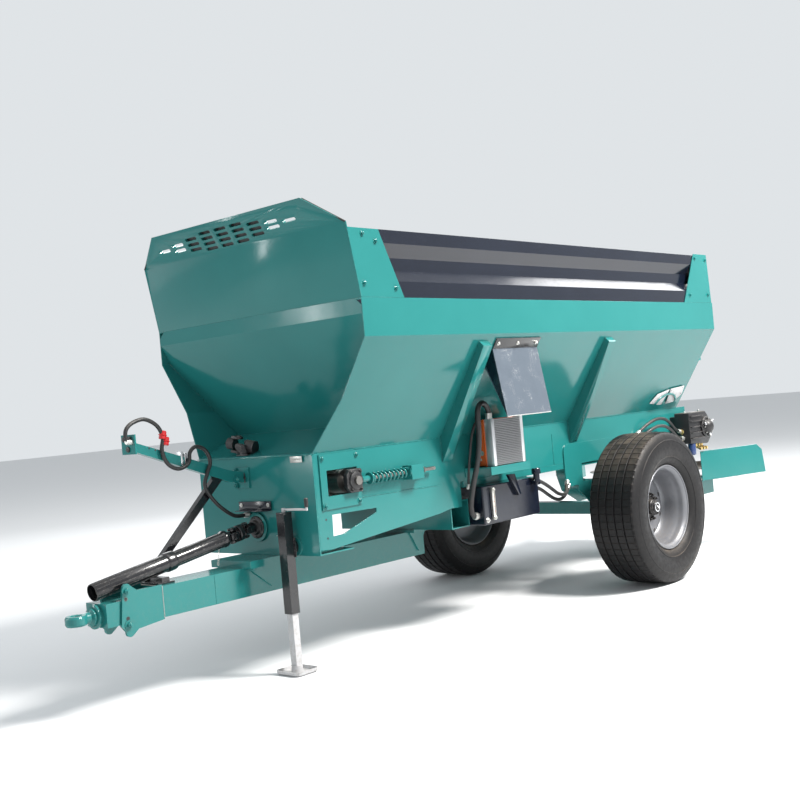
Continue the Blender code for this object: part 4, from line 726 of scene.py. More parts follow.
# Radius, and distance in from the widest point.
SIDEWALL = (
    (0.5130, 0.0245), (0.500, 0.0175), (0.4850, 0.0105), (0.4720, 0.0065), (0.4700, 0.0040),
    (0.4640, 0.0030), (0.4620, 0.0052), (0.4450, 0.0016), (0.4200, 0.0), (0.3950, 0.0016),
    (0.3700, 0.0062), (0.3560, 0.0100), (0.3540, 0.0082), (0.3480, 0.0100), (0.3460, 0.0140),
    (0.3330, 0.0205), (0.3200, 0.0270), (0.3130, 0.0335), (0.3060, 0.0390),
)
INNER_WALL = ((0.310, 0.128), (0.420, 0.172), (0.500, 0.150), (0.514, 0.0), (0.500, -0.150),
              (0.420, -0.172), (0.310, -0.128))
print("tread blocks round the tyre:", TREAD_STEPS // 2)

# %% Tyre


def crown(a):
    """Radius of the tread at a distance from the middle, a shallow crown."""
    return TYRE_R - CROWN_DROP * (abs(a) / TREAD_HALF) ** 2.4


def tread_profile():
    """The tyre's outer outline from one bead to the other, (radius, along the axle)."""
    points = []
    for groove in GROOVES:
        low, high = groove - GROOVE_HALF, groove + GROOVE_HALF
        floor_r = crown(groove) - GROOVE_DEEP
        points += [
            (crown(low) - 0.0004, low - 0.0012), (crown(low) - 0.0016, low),
            (floor_r, low + 0.0018), (floor_r, high - 0.0018),
            (crown(high) - 0.0016, high), (crown(high) - 0.0004, high + 0.0012),
        ]
    outer = [(crown(TREAD_HALF), TREAD_HALF), (0.5265, 0.1565), (0.5215, 0.1620)]
    outer += [(r, TYRE_HALF - inward) for r, inward in SIDEWALL]
    outer += BEAD
    return [(r, -a) for r, a in reversed(outer)] + points + outer


def narrow_strips(bm, centre):
    """Moves every second ring of points close to its neighbour, which leaves narrow strips."""
    step = math.tau / TREAD_STEPS
    first = bm.verts[:][0].co - centre
    start = math.atan2(first.z, first.x)
    for vert in bm.verts:
        arm = vert.co - centre
        angle = math.atan2(arm.z, arm.x)
        if round((angle - start) / step) % 2:
            radius = math.hypot(arm.x, arm.z)
            angle -= step * STRIP_SHIFT
            vert.co = centre + Vector((radius * math.cos(angle), arm.y, radius * math.sin(angle)))


def cross_cuts(bm, centre):
    """The faces of the narrow strips that lie on the ribs and on the shoulders."""
    cuts = []
    for face in bm.faces:
        if min(edge.calc_length() for edge in face.edges) >= STRIP_WIDE:
            continue
        middle = face.calc_center_median() - centre
        radius = math.hypot(middle.x, middle.z)
        across = abs(middle.y)
        on_rib = radius > TYRE_R - RIB_BAND and across < TREAD_HALF
        on_shoulder = SHOULDER_FROM < across < SHOULDER_TO and radius > SHOULDER_R
        if on_rib and face.calc_area() > RIB_FACE and abs(face.normal.y) < 0.3:
            cuts.append(face)
        elif on_shoulder:
            cuts.append(face)
    return cuts


def tyre(tag, sign):
    centre = Vector((0.0, sign * WHEEL_Y, WHEEL_Z))
    bm = bmesh.new()
    profile = tread_profile() + list(INNER_WALL)
    turned(bm, profile, centre, (0, sign, 0), TREAD_STEPS, ring=True)
    narrow_strips(bm, centre)
    bmesh.ops.recalc_face_normals(bm, faces=bm.faces)
    cuts = cross_cuts(bm, centre)
    bmesh.ops.inset_individual(bm, faces=cuts, thickness=CUT_RIM, depth=0.0)
    for face in cuts:
        middle = face.calc_center_median()
        outward = (middle - centre) * Vector((1, 0, 1))
        outward.normalize()
        tangent = Vector((0, 1, 0)).cross(outward)
        for vert in face.verts:
            vert.co -= tangent * (vert.co - middle).dot(tangent) * CUT_SQUEEZE
            vert.co -= outward * CUT_DEEP
    piece(bm, f"tyre_tread_{tag}", f"wheel_{tag}", RUBBER, 30.0, (f"tyre_{tag}",))
    return len(cuts)


for tag, sign in SIDES:
    print("tyre", tag, "cuts:", tyre(tag, sign))

# %% [markdown]
# The wheel is a deep dish of painted steel on a black hub. Dish, well and rolled lips are one
# turned outline, and a row of dark discs in the dish is painted shade for its hand holes. The hub
# carries ten nuts on studs and a stepped cap with a bright ring. A brass valve leans out of the dish.

# %% Wheel rim
RIM_HALF = 0.155
DISH = -0.030
NUTS, NUT_CIRCLE = 10, 0.088
HAND_HOLES, HAND_HOLE_CIRCLE = 8, 0.186
VALVE_ANGLE = 0.35


def rim_outline():
    """The dish, the well and both rolled lips as one closed outline, (radius, along the axle)."""
    lip = arc((0.2905, RIM_HALF - 0.0062), 0.0058, -60, 190, 7)
    face = [
        (0.098, DISH + 0.010), (0.150, DISH + 0.010), (0.172, DISH + 0.014),
        (0.200, DISH + 0.012), (0.214, DISH + 0.006), (0.222, DISH + 0.014),
        (0.2300, DISH + 0.034), (0.2360, 0.030), (0.2420, 0.062), (0.2520, 0.088),
        (0.2585, 0.104), (0.2600, 0.122), (0.2660, 0.134), (0.2740, 0.1400), (0.2800, 0.1460),
    ]
    well = [(0.2842, RIM_HALF - 0.0140), (0.2836, RIM_HALF - 0.034), (0.2680, RIM_HALF - 0.060)]
    back = [
        (0.2760, -0.140), (0.2620, -0.100), (0.2480, -0.050), (0.2340, DISH - 0.010),
        (0.200, DISH - 0.004), (0.150, DISH + 0.001), (0.098, DISH + 0.001),
    ]
    far_well = [(r, -a) for r, a in reversed(well)]
    return face + lip[::-1] + well + far_well + [(r, -a) for r, a in lip] + back


def wheel_dish(tag, centre, out):
    bm = bmesh.new()
    turned(bm, rim_outline(), centre, out, 72, ring=True)
    piece(bm, f"wheel_dish_{tag}", f"wheel_{tag}", SILVER, 40.0,
          (f"wheel_rim_{tag}",))
    # Thin dark discs stand in for the hand holes: painted shade, not openings.
    dish_hole_shades = bmesh.new()
    for arm in spokes(HAND_HOLES, 0.5):
        place = centre + arm * HAND_HOLE_CIRCLE + out * (DISH + 0.0125)
        rod(dish_hole_shades, place, place + out * 0.0010, 0.0150, 20)
    piece(dish_hole_shades, f"hand_hole_shade_{tag}", f"wheel_{tag}", CAST)


print("rim outline:", len(rim_outline()), "points")

# %% Hub, cap ring and valve
HUB_OUTLINE = [
    (0.0, 0.071), (0.020, 0.071), (0.024, 0.068), (0.026, 0.064), (0.036, 0.064),
    (0.040, 0.060), (0.042, 0.050), (0.048, 0.048), (0.050, 0.040), (0.054, 0.036),
    (0.056, 0.012), (0.072, 0.006), (0.076, 0.000), (0.076, DISH + 0.026),
    (0.1040, DISH + 0.022), (0.1080, DISH + 0.018), (0.1080, DISH + 0.0105),
    (0.0970, DISH + 0.0105), (0.0970, -0.098), (0.0880, -0.102), (0.0320, -0.102),
    (0.0320, -0.002), (0.0, -0.002),
]
CAP_RING = [(0.0265, 0.0640), (0.0335, 0.0640), (0.0335, 0.0672), (0.0300, 0.0680),
            (0.0265, 0.0672)]


def wheel_hub(tag, centre, out):
    hub = bmesh.new()
    turned(hub, HUB_OUTLINE, centre, out, 48)
    for arm in spokes(NUTS):
        place = centre + arm * NUT_CIRCLE + out * (DISH + 0.024)
        rod(hub, place, place + out * 0.004, 0.0150, 14)
        rod(hub, place + out * 0.004, place + out * 0.022, 0.0135, 6)
        rod(hub, place + out * 0.022, place + out * 0.036, 0.0070, 10, 0.0062)
    piece(hub, f"wheel_hub_{tag}", f"wheel_{tag}", CAST)
    ring = bmesh.new()
    turned(ring, CAP_RING, centre, out, 40, ring=True)
    for angle in (0.6, 0.6 + math.pi):
        place = centre + spoke(angle) * 0.013 + out * 0.0705
        rod(ring, place, place + out * 0.0025, 0.0060, 12)
    rod(ring, centre + out * 0.070, centre + out * 0.0735, 0.0085, 6)
    piece(ring, f"hub_ring_{tag}", f"wheel_{tag}", CHROME)


def tyre_valve(tag, centre, out):
    """A rubber foot, a brass stem and its cap, leaning out of the dish."""
    bm = bmesh.new()
    arm = spoke(VALVE_ANGLE)
    foot = centre + arm * 0.238 + out * 0.040
    tip = foot - arm * 0.020 + out * 0.038
    stem = tip - foot
    rod(bm, foot, foot + stem * 0.35, 0.0075, 12, 0.0060)
    rod(bm, foot + stem * 0.3, tip, 0.0040, 10)
    rod(bm, foot + stem * 0.75, tip + stem * 0.05, 0.0052, 8)
    piece(bm, f"tyre_valve_{tag}", f"wheel_{tag}", BRASS)


for tag, sign in SIDES:
    wheel_middle = Vector((0.0, sign * WHEEL_Y, WHEEL_Z))
    for part in (wheel_dish, wheel_hub, tyre_valve):
        part(tag, wheel_middle, Vector((0, sign, 0)))
print("wheels done")

# %% [markdown]
# The hood at the front has rows of punched slots, which let the driver see the load. The sheet
# is folded from four flat strips, and Solidify gives it its thickness. All the slots are one
# cutter, taken away by a Boolean, because a real punch also goes through the finished sheet.

# %% Hood
HOOD_FOOT = (2.806, RIM_Z + 0.0023, HALF)
HOOD_CREASE = (2.876, RIM_Z + 0.396, HALF)
HOOD_TOP = (2.958, RIM_Z + 0.559, 0.653)
HOOD_THICK = 0.004
HOOD_INSET = 0.0070
SLOT_COLUMNS = (1, 2, 3, 4, 4, 4, 3, 2, 1)
SLOT_LONG = 0.104
SLOT_HIGH = 0.019
SLOT_MIDDLE = 0.082
COLUMN_PITCH = 0.138
COLUMNS_SHIFT = -0.050
ROW_PITCH = 0.034


def slot_cutter():
    """Round-ended slots, thick enough to pass through the hood's upper panel."""
    bm = bmesh.new()
    foot = Vector((HOOD_CREASE[0], 0, HOOD_CREASE[1]))
    top = Vector((HOOD_TOP[0], 0, HOOD_TOP[1]))
    up = (top - foot).normalized()
    out = Vector((0, 1, 0)).cross(up).normalized()
    half = (SLOT_LONG - SLOT_HIGH) / 2
    ends = arc((half, 0.0), SLOT_HIGH / 2, -90, 90, 6)
    ends += arc((-half, 0.0), SLOT_HIGH / 2, 90, 270, 6)
    for column, count in enumerate(SLOT_COLUMNS):
        middle = COLUMN_PITCH * (column - (len(SLOT_COLUMNS) - 1) / 2) + COLUMNS_SHIFT
        for row in range(count):
            rise = SLOT_MIDDLE + ROW_PITCH * (row - (count - 1) / 2)
            centre = foot + up * rise + Vector((0, middle, 0))
            corners = [centre + Vector((0, a, 0)) + up * b - out * 0.020 for a, b in ends]
            plate(bm, corners, out * 0.040)
    bmesh.ops.recalc_face_normals(bm, faces=bm.faces)
    bmesh.ops.translate(bm, verts=bm.verts, vec=SHIFT)
    mesh = bpy.data.meshes.new("slot_cutter")
    bm.to_mesh(mesh)
    bm.free()
    cutter = bpy.data.objects.new("slot_cutter", mesh)
    bpy.context.scene.collection.objects.link(cutter)
    return cutter


def hood():
    """Lower panel, crease and narrowing top panel, with the slots cut and the mesh made final."""
    bm = bmesh.new()
    x, z, y = HOOD_TOP
    rows = [
        (HOOD_FOOT[0] - 0.045, HOOD_FOOT[1], HALF - 0.012), (*HOOD_FOOT[:2], HALF - 0.0002),
        (*HOOD_CREASE[:2], HALF - 0.0002), (x - HOOD_INSET, z - HOOD_INSET, y - 0.001),
        (x - 0.032, z - 0.012, y - 0.006),
    ]
    lines = [[bm.verts.new((x, side * y, z)) for side in (-1, 1)] for x, z, y in rows]
    for line, following in zip(lines, lines[1:]):
        bm.faces.new((line[0], line[1], following[1], following[0]))
    made = piece(bm, "punched_hood", "frame", TEAL, 30.0, ("front_hood",))
    shell = made.modifiers.new("Sheet", "SOLIDIFY")
    shell.thickness = HOOD_THICK
    shell.offset = 0.0
    shell.use_even_offset = True
    punch = made.modifiers.new("Slots", "BOOLEAN")
    punch.operation = "DIFFERENCE"
    punch.solver = "EXACT"
    cutter = slot_cutter()
    punch.object = cutter
    settle(made)
    bpy.data.objects.remove(cutter, do_unlink=True)
    round_edges(made, 0.0010, 40)
    return made


def settle(made):
    """Replaces a piece's mesh with its evaluated one and drops the modifiers."""
    graph = bpy.context.evaluated_depsgraph_get()
    graph.update()
    final = bpy.data.meshes.new_from_object(made.evaluated_get(graph))
    made.modifiers.clear()
    made.data = final


made_hood = hood()
print("hood faces:", len(made_hood.data.polygons))

# %% [markdown]
# A sheet's edge is folded round so that it isn't sharp: a thin rod follows each edge of the
# Behind the middle slots a dark sheet is painted shade, standing in for the dark inside of the
# hopper.

# %% Hems of the hood, and the painted shade behind its slots
HEM_R, DARK_EDGE_R = 0.0045, 0.0055
MIRROR = Vector((1, -1, 1))
CREASE_END = Vector((HOOD_CREASE[0], HALF - 0.004, HOOD_CREASE[1]))
TOP_END = Vector((HOOD_TOP[0] - 0.005, HOOD_TOP[2] - 0.005, HOOD_TOP[1] - 0.0060))
TOP_INSET = Vector((0, 0.012, 0))
SLOT_SHADE_OUTLINE = ((-0.380, 0.016), (0.300, 0.016), (0.300, 0.150), (-0.380, 0.150))

hems = bmesh.new()
for side in (-1, 1):
    foot = (HOOD_FOOT[0] - 0.001, side * (HALF - 0.004), RIM_Z + 0.010)
    crease = (HOOD_CREASE[0] - 0.001, side * (HALF - 0.004), HOOD_CREASE[1])
    rod(hems, foot, crease, HEM_R, 10)
piece(hems, "hood_hems", "frame", TEAL)
# A dark rod runs along both sides and the top of the upper panel.
trim = bmesh.new()
rod(trim, CREASE_END, TOP_END, DARK_EDGE_R, 10)
rod(trim, CREASE_END * MIRROR, TOP_END * MIRROR, DARK_EDGE_R, 10)
rod(trim, TOP_END - TOP_INSET, TOP_END * MIRROR + TOP_INSET, DARK_EDGE_R, 10)
piece(trim, "hood_dark_edges", "frame", HOSE)
# A dark sheet behind the middle slots: painted shade for the hopper's inside.
slot_shade = bmesh.new()
panel_up = (TOP_END - CREASE_END) * Vector((1, 0, 1))
panel_up.normalize()
inward = panel_up.cross(Vector((0, 1, 0))).normalized()
inward = inward if inward.x < 0 else -inward
corners = [Vector((HOOD_CREASE[0], y, HOOD_CREASE[1])) + panel_up * rise + inward * 0.007
           for y, rise in SLOT_SHADE_OUTLINE]
plate(slot_shade, corners, inward * 0.003)
piece(slot_shade, "slot_shade_sheet", "frame", HOSE)
print("hems on the hood")

# %% [markdown]
# The chain floor is pulled tight by a screw on each side. A bearing block slides in a window,
# and a coil spring pushes it forward. The plain node is a solid bar, so the real block, spring,
# threaded rod and nuts take its place.

# %% Chain tensioners
SHAFT_Z = 1.020
BEARING_X = 2.609
BRACKET_FRONT_X = 2.161
BRACKET_REAR_X = 2.051
SPRING_FRONT_X = 2.485
ROD_END_X = 1.912
ROD_R = 0.0098
THREAD_PITCH = 0.0045
SEAT_R = 0.034
COIL_R, COIL_WIRE, COIL_TURNS = 0.0260, 0.0070, 9.0


def bearing_block(tag, sign):
    centre = Vector((BEARING_X, sign * (TROUGH_Y + 0.0092), SHAFT_Z))
    out = Vector((0, sign, 0))
    bm = bmesh.new()
    outline = ((-0.056, -0.066), (0.040, -0.066), (0.066, -0.036), (0.066, 0.036),
               (0.040, 0.066), (-0.056, 0.066))
    plate(bm, [centre + Vector((a, 0, b)) for a, b in outline], out * 0.030, 0.006)
    cap = [(0.026, 0.030), (0.052, 0.030), (0.050, 0.040), (0.034, 0.046), (0.026, 0.046)]
    turned(bm, cap, centre, out, 36, ring=True)
    for a, b in ((-0.040, -0.050), (0.034, -0.050), (-0.040, 0.050), (0.034, 0.050)):
        bolt(bm, centre + Vector((a, 0, b)) + out * 0.030, out, 0.014)
    piece(bm, f"bearing_block_{tag}", "frame", CAST,
          replaces=(f"tensioner_screw_{tag}",))
    places = [(x, sign * (TROUGH_Y + 0.0083), z) for x in (2.556, 2.829) for z in (0.902, 1.164)]
    bolts(f"tensioner_bolts_{tag}", places, (0, sign, 0), TEAL, 0.018)


def tensioner(tag, sign):
    """Threaded rod with its two nuts, the spring's seats and the spring, all on one line."""

    def at(x):
        return Vector((x, sign * (TROUGH_Y + 0.035), SHAFT_Z))

    thread = bmesh.new()
    block_x = BEARING_X - 0.050
    rod(thread, at(block_x), at(ROD_END_X), ROD_R, 16)
    for i in range(round((BRACKET_REAR_X - ROD_END_X) / THREAD_PITCH)):
        ridge = [(0.0094, -0.0020), (0.0112, 0.0), (0.0094, 0.0020)]
        turned(thread, ridge, at(ROD_END_X + 0.002 + THREAD_PITCH * i), (1, 0, 0), 12, ring=True)
    for x, wide in ((BRACKET_REAR_X - 0.022, 0.018), (BRACKET_REAR_X - 0.042, 0.014)):
        rod(thread, at(x), at(x + wide), 0.0195, 6, chamfer=0.0015)
    rod(thread, at(BRACKET_REAR_X - 0.004), at(BRACKET_REAR_X - 0.0008), 0.024, 20)
    piece(thread, f"tensioner_rod_{tag}", "frame", STEEL)
    seat = bmesh.new()
    rod(seat, at(SPRING_FRONT_X), at(SPRING_FRONT_X + 0.010), SEAT_R, 24, chamfer=0.001)
    rod(seat, at(SPRING_FRONT_X + 0.010), at(block_x), 0.018, 20, chamfer=0.001)
    rod(seat, at(BRACKET_FRONT_X + 0.001), at(BRACKET_FRONT_X + 0.006), SEAT_R, 24)
    piece(seat, f"spring_seats_{tag}", "frame", TEAL)
    spring = bmesh.new()
    length = SPRING_FRONT_X - BRACKET_FRONT_X - 0.018
    helix(spring, at(BRACKET_FRONT_X + 0.012), (1, 0, 0), COIL_R, COIL_WIRE, COIL_TURNS, length)
    piece(spring, f"tensioner_spring_{tag}", "frame", TEAL, smooth=60.0)


for tag, sign in SIDES:
    bearing_block(tag, sign)
    tensioner(tag, sign)
print("tensioners done")

# %% [markdown]
# The oil cooler is a stack of thin wavy fins between two alloy tanks, with an orange fan
# housing behind it. Flat tubes cross the core, and in each gap one zigzag strip is pushed out
# to the core's depth, so light breaks up in it the way it does in a real core.

# %% Oil cooler core
cooler_low, cooler_high = node_box("oil_cooler")
CORE_Y = cooler_high.y
CORE_TANK = 0.030
CORE_MARGIN = 0.008
FIN_ROWS = 26
FIN_FOLDS = 56
FIN_PITCH = (cooler_high.z - cooler_low.z - 2 * CORE_MARGIN) / FIN_ROWS
TUBE_HALF = 0.0011


def cooler_core():
    low, high = cooler_low, cooler_high
    foot_z = low.z + 0.002
    bm = bmesh.new()
    block(bm, (high.x - CORE_TANK, CORE_Y - 0.060, foot_z), (high.x, CORE_Y, high.z), 0.004)
    block(bm, (low.x, CORE_Y - 0.060, foot_z), (low.x + CORE_TANK, CORE_Y, high.z), 0.004)
    for row in range(FIN_ROWS + 1):
        z = low.z + CORE_MARGIN + FIN_PITCH * row
        block(bm, (low.x + CORE_TANK - 0.002, CORE_Y - 0.056, z - TUBE_HALF),
              (high.x - CORE_TANK + 0.002, CORE_Y - 0.003, z + TUBE_HALF))
    for x in (low.x + 0.010, high.x - 0.010):
        foot = Vector((x, CORE_Y - 0.030, high.z - 0.001))
        rod(bm, foot, foot + Vector((0, 0, 0.013)), 0.014, 16)
    piece(bm, "cooler_core", "frame", ALLOY, replaces=("oil_cooler",))


def cooler_fins():
    """One zigzag strip in every gap between the flat tubes."""
    bm = bmesh.new()
    low_x, high_x = cooler_low.x + CORE_TANK, cooler_high.x - CORE_TANK
    step = (high_x - low_x) / FIN_FOLDS
    for row in range(FIN_ROWS):
        z = cooler_low.z + CORE_MARGIN + FIN_PITCH * row
        heights = (z + 0.0014, z + FIN_PITCH - 0.0020)
        line = [(low_x + step * i, heights[i % 2]) for i in range(FIN_FOLDS + 1)]
        upper = [(x, CORE_Y - 0.052, height + 0.0005) for x, height in line]
        lower = [(x, CORE_Y - 0.052, height) for x, height in reversed(line)]
        plate(bm, upper + lower, (0, 0.047, 0))
    return piece(bm, "cooler_fins", "frame", ALLOY, 20.0)


cooler_core()
print("fins:", len(cooler_fins().data.polygons), "faces")

# %% [markdown]
# The fan's housing is a softened box with a thin flange against the core. Its guard faces the
# trough: a turned rim, four wire rings and six spokes.

# %% Fan and its housing
GUARD_RINGS = (0.040, 0.060, 0.080, 0.100)
GUARD_SPOKES = 6


def fan_housing():
    low, high = cooler_low, cooler_high
    face = high.x - 0.002
    bm = bmesh.new()
    block(bm, (low.x + 0.006, low.y, low.z + 0.004), (face, CORE_Y - 0.061, high.z - 0.006), 0.006)
    block(bm, (low.x + 0.001, CORE_Y - 0.068, low.z + 0.001),
          (high.x + 0.004, CORE_Y - 0.060, high.z - 0.001), 0.001)
    piece(bm, "fan_housing", "frame", ORANGE)
    label = bmesh.new()
    middle = Vector((face, low.y + 0.030, low.z + 0.085))
    rod(label, middle, middle + Vector((0.0006, 0, 0)), 0.016, 24)
    piece(label, "blank_round_label", "frame", ZINC)
    places = [(face, low.y + 0.020, low.z + z) for z in (0.045, 0.190, 0.260)]
    bolts("housing_screws", places, (1, 0, 0), ZINC, 0.008)


def fan_guard():
    low, high = cooler_low, cooler_high
    bm = bmesh.new()
    centre = Vector(((low.x + high.x) / 2, low.y - 0.002, (low.z + high.z) / 2))
    back = Vector((0, -1, 0))
    rim = [(0.118, 0.0), (0.124, 0.0), (0.124, 0.010), (0.118, 0.010)]
    turned(bm, rim, centre, back, 40, ring=True)
    for r in GUARD_RINGS:
        wire = [(r, 0.004), (r + 0.003, 0.004), (r + 0.003, 0.007), (r, 0.007)]
        turned(bm, wire, centre, back, 32, ring=True)
    for arm in spokes(GUARD_SPOKES):
        rod(bm, centre + back * 0.005 + arm * 0.012, centre + back * 0.005 + arm * 0.120, 0.0022, 6)
    rod(bm, centre, centre + back * 0.012, 0.036, 24)
    piece(bm, "fan_guard", "frame", BLACK)


fan_housing()
fan_guard()
print("fan housing done")

# %% [markdown]
# A bent steel shield keeps manure off the cooler. The model's plate stays. What is added is
# thin: a dark flange that lies on the sloped wall, its bolts, dark end sheets that are painted
# shade in its two open ends, and a bright rod along its lower edge that is a painted highlight.

# %% Shield over the cooler
shield_low, shield_high = node_box("cooler_shield")
FLANGE_Z = 1.712
END_SHADE_Z = 1.606
WALL_TOP_Z = RIM_Z - 0.208
WALL_SLOPE = (HALF - TROUGH_Y) / (WALL_TOP_Z - 1.195)


def wall_y(z):
    """How far out the hopper's sloped left wall is at a height."""
    return HALF - (WALL_TOP_Z - z) * WALL_SLOPE


def shield_trim():
    """Dark folded flange with its bolts, painted shade in the two open ends and a painted highlight
    along the lower edge.
    """
    low, high = shield_low, shield_high

    def flange_y(z):
        return wall_y(z) + 0.0062

    strip = bmesh.new()
    ends = (low.x + 0.002, high.x - 0.002)
    levels = (FLANGE_Z, high.z - 0.001)
    outline = ((ends[0], levels[0]), (ends[1], levels[0]), (ends[1], levels[1]), (ends[0], levels[1]))
    plate(strip, [(x, flange_y(z), z) for x, z in outline], (0, 0.0040, -0.0026), 0.0008)
    piece(strip, "shield_flange", "frame", BLACK)
    z = (high.z + FLANGE_Z) / 2
    places = [(x, flange_y(z) + 0.0040, z - 0.0026)
              for x in (low.x + 0.035, (low.x + high.x) / 2, high.x - 0.035)]
    bolts("shield_bolts", places, (0, 1, -WALL_SLOPE), ZINC, 0.013)
    # Dark sheets close the shield's open ends: painted shade for the hollow behind it.
    end_shade = bmesh.new()
    knee = (flange_y(FLANGE_Z - 0.006), FLANGE_Z - 0.006)
    foot = (high.y - 0.004, low.z + 0.010)
    inner = (flange_y(END_SHADE_Z) + 0.006, END_SHADE_Z)
    for x, away in ((high.x, 1), (low.x, -1)):
        corners = [(x + away * 0.0004, y, level) for y, level in (knee, foot, inner)]
        plate(end_shade, corners, (away * 0.0008, 0, 0))
    piece(end_shade, "shield_end_shade", "frame", NAVY)
    # A bright rod along the lower edge: a painted highlight on the fold.
    lip = bmesh.new()
    y, z = high.y - 0.003, low.z + 0.003
    rod(lip, (low.x, y, z), (high.x, y, z), 0.0034, 8)
    piece(lip, "shield_edge_highlight", "frame", ZINC)


shield_trim()
print("shield trimmed")

# %% [markdown]
# The oil tank hangs below. It carries a level gauge between two fittings, a filler neck, a
# drain plug and a folded bracket to the shelf above.

# %% Oil tank
tank_low, tank_high = node_box("oil_tank")
TANK_FACE = tank_high.y
GAUGE_X = tank_high.x - 0.085
NECK = [(0.0, 0.0), (0.026, 0.0), (0.026, 0.010), (0.021, 0.014), (0.021, 0.052),
        (0.030, 0.052), (0.030, 0.082), (0.024, 0.090), (0.0, 0.090)]
BRACKET = ((1.300, 0.912), (1.235, 0.912), (1.180, 0.775), (1.205, 0.768))


def level_gauge():
    x, face = GAUGE_X, TANK_FACE
    gauge = bmesh.new()
    for z in (tank_low.z + 0.040, tank_high.z - 0.030):
        block(gauge, (x - 0.013, face, z - 0.012), (x + 0.013, face + 0.020, z + 0.012), 0.002)
        bolt(gauge, (x, face + 0.020, z), (0, 1, 0), 0.015)
    for shift in (-0.0135, 0.0135):
        block(gauge, (x + shift - 0.0015, face + 0.004, tank_low.z + 0.045),
              (x + shift + 0.0015, face + 0.019, tank_high.z - 0.035))
    piece(gauge, "gauge_frame", "frame", ZINC)
    tube = bmesh.new()
    rod(tube, (x, face + 0.012, tank_low.z + 0.048), (x, face + 0.012, tank_high.z - 0.038),
        0.0075, 16)
    piece(tube, "gauge_glass", "frame", GLASS)
    marks = bmesh.new()
    for i in range(4):
        z = tank_low.z + 0.080 + 0.030 * i
        block(marks, (x - 0.0078, face + 0.0195, z), (x + 0.0078, face + 0.0200, z + 0.002))
    piece(marks, "gauge_marks", "frame", RED)


def tank_details():
    low, high, face = tank_low, tank_high, TANK_FACE
    neck = bmesh.new()
    foot = Vector((low.x + 0.055, face - 0.030, high.z - 0.001))
    turned(neck, NECK, foot + Vector((0, 0.062, -0.030)), (0, 0, 1), 28)
    block(neck, (foot.x - 0.022, face - 0.001, foot.z - 0.050),
          (foot.x + 0.022, face + 0.046, foot.z - 0.022), 0.004)
    piece(neck, "filler_neck", "frame", NAVY)
    plug = bmesh.new()
    bolt(plug, (high.x - 0.030, face, low.z + 0.030), (0, 1, 0), 0.018)
    bolt(plug, (low.x + 0.300, (low.y + face) / 2, low.z), (0, 0, -1), 0.024)
    piece(plug, "tank_plugs", "frame", ZINC)
    wedge = bmesh.new()
    plate(wedge, [(x, face + 0.001, z) for x, z in BRACKET], (0, 0.026, 0), 0.002)
    piece(wedge, "tank_bracket", "frame", NAVY)
    seam = bmesh.new()
    for x in (low.x + 0.004, high.x - 0.004):
        rod(seam, (x, face - 0.002, low.z + 0.010), (x, face - 0.002, high.z - 0.010), 0.0026, 8)
    piece(seam, "tank_seams", "frame", NAVY)


level_gauge()
tank_details()
print("tank details")

# %% [markdown]
# Hoses are curves. A smooth curve goes through a few given points, gets a round section, and
# ends in crimped fittings. Both ends go into the machine, and each hose's length is measured
# along its curve.

# %% Hoses


def smooth_run(points, step=0.012):
    """Points along a Catmull-Rom curve through the guides."""
    guides = [Vector(p) for p in points]
    padded = [guides[0] * 2 - guides[1], *guides, guides[-1] * 2 - guides[-2]]
    run = [guides[0]]
    for a, b, c, d in zip(padded, padded[1:], padded[2:], padded[3:]):
        count = max(2, round((c - b).length / step))
        for i in range(1, count + 1):
            t = i / count
            run.append(0.5 * (2 * b + (c - a) * t + (2 * a - 5 * b + 4 * c - d) * t * t
                              + (3 * b - a - 3 * c + d) * t ** 3))
    return run


def hose(name, points, radius, replaces=()):
    """A round hose whose curve is its centreline; gives back the length it measures."""
    run = [point + SHIFT for point in smooth_run(points, max(0.008, radius))]
    curve = bpy.data.curves.new(name, "CURVE")
    curve.dimensions = "3D"
    curve.bevel_depth = radius
    curve.bevel_resolution = 5
    curve.use_fill_caps = True
    line = curve.splines.new("POLY")
    line.points.add(len(run) - 1)
    for point, place in zip(line.points, run):
        point.co = (*place, 1.0)
    line.use_smooth = True
    curve.materials.append(HOSE)
    made = bpy.data.objects.new(name, curve)
    bpy.context.scene.collection.objects.link(made)
    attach(made, "frame")
    if replaces:
        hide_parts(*replaces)
    length = sum((b - a).length for a, b in zip(run, run[1:]))
    made_pieces.append(name)
    return length


def fitting(bm, end, following, radius, length=0.026):
    """Crimped collar and nut on the first stretch of a hose, from its end to the next point."""
    end = Vector(end)
    direction = (Vector(following) - end).normalized()
    end += direction * 0.010
    rod(bm, end, end + direction * length, radius * 1.28, 18, chamfer=0.001)
    ridge = [(radius * 1.2, -0.0015), (radius * 1.40, 0.0), (radius * 1.2, 0.0015)]
    for share in (0.25, 0.50, 0.75):
        turned(bm, ridge, end + direction * (length * share), direction, 16, ring=True)
    rod(bm, end - direction * 0.014, end, radius * 1.45, 6, chamfer=0.0012)


print("hose helpers ready")

# %% [markdown]
# Each run is a list of guide points in the axle's numbers, from one port to the other. The
# supply hose stays in one plane beside its arm, so its guides are only (along, up).

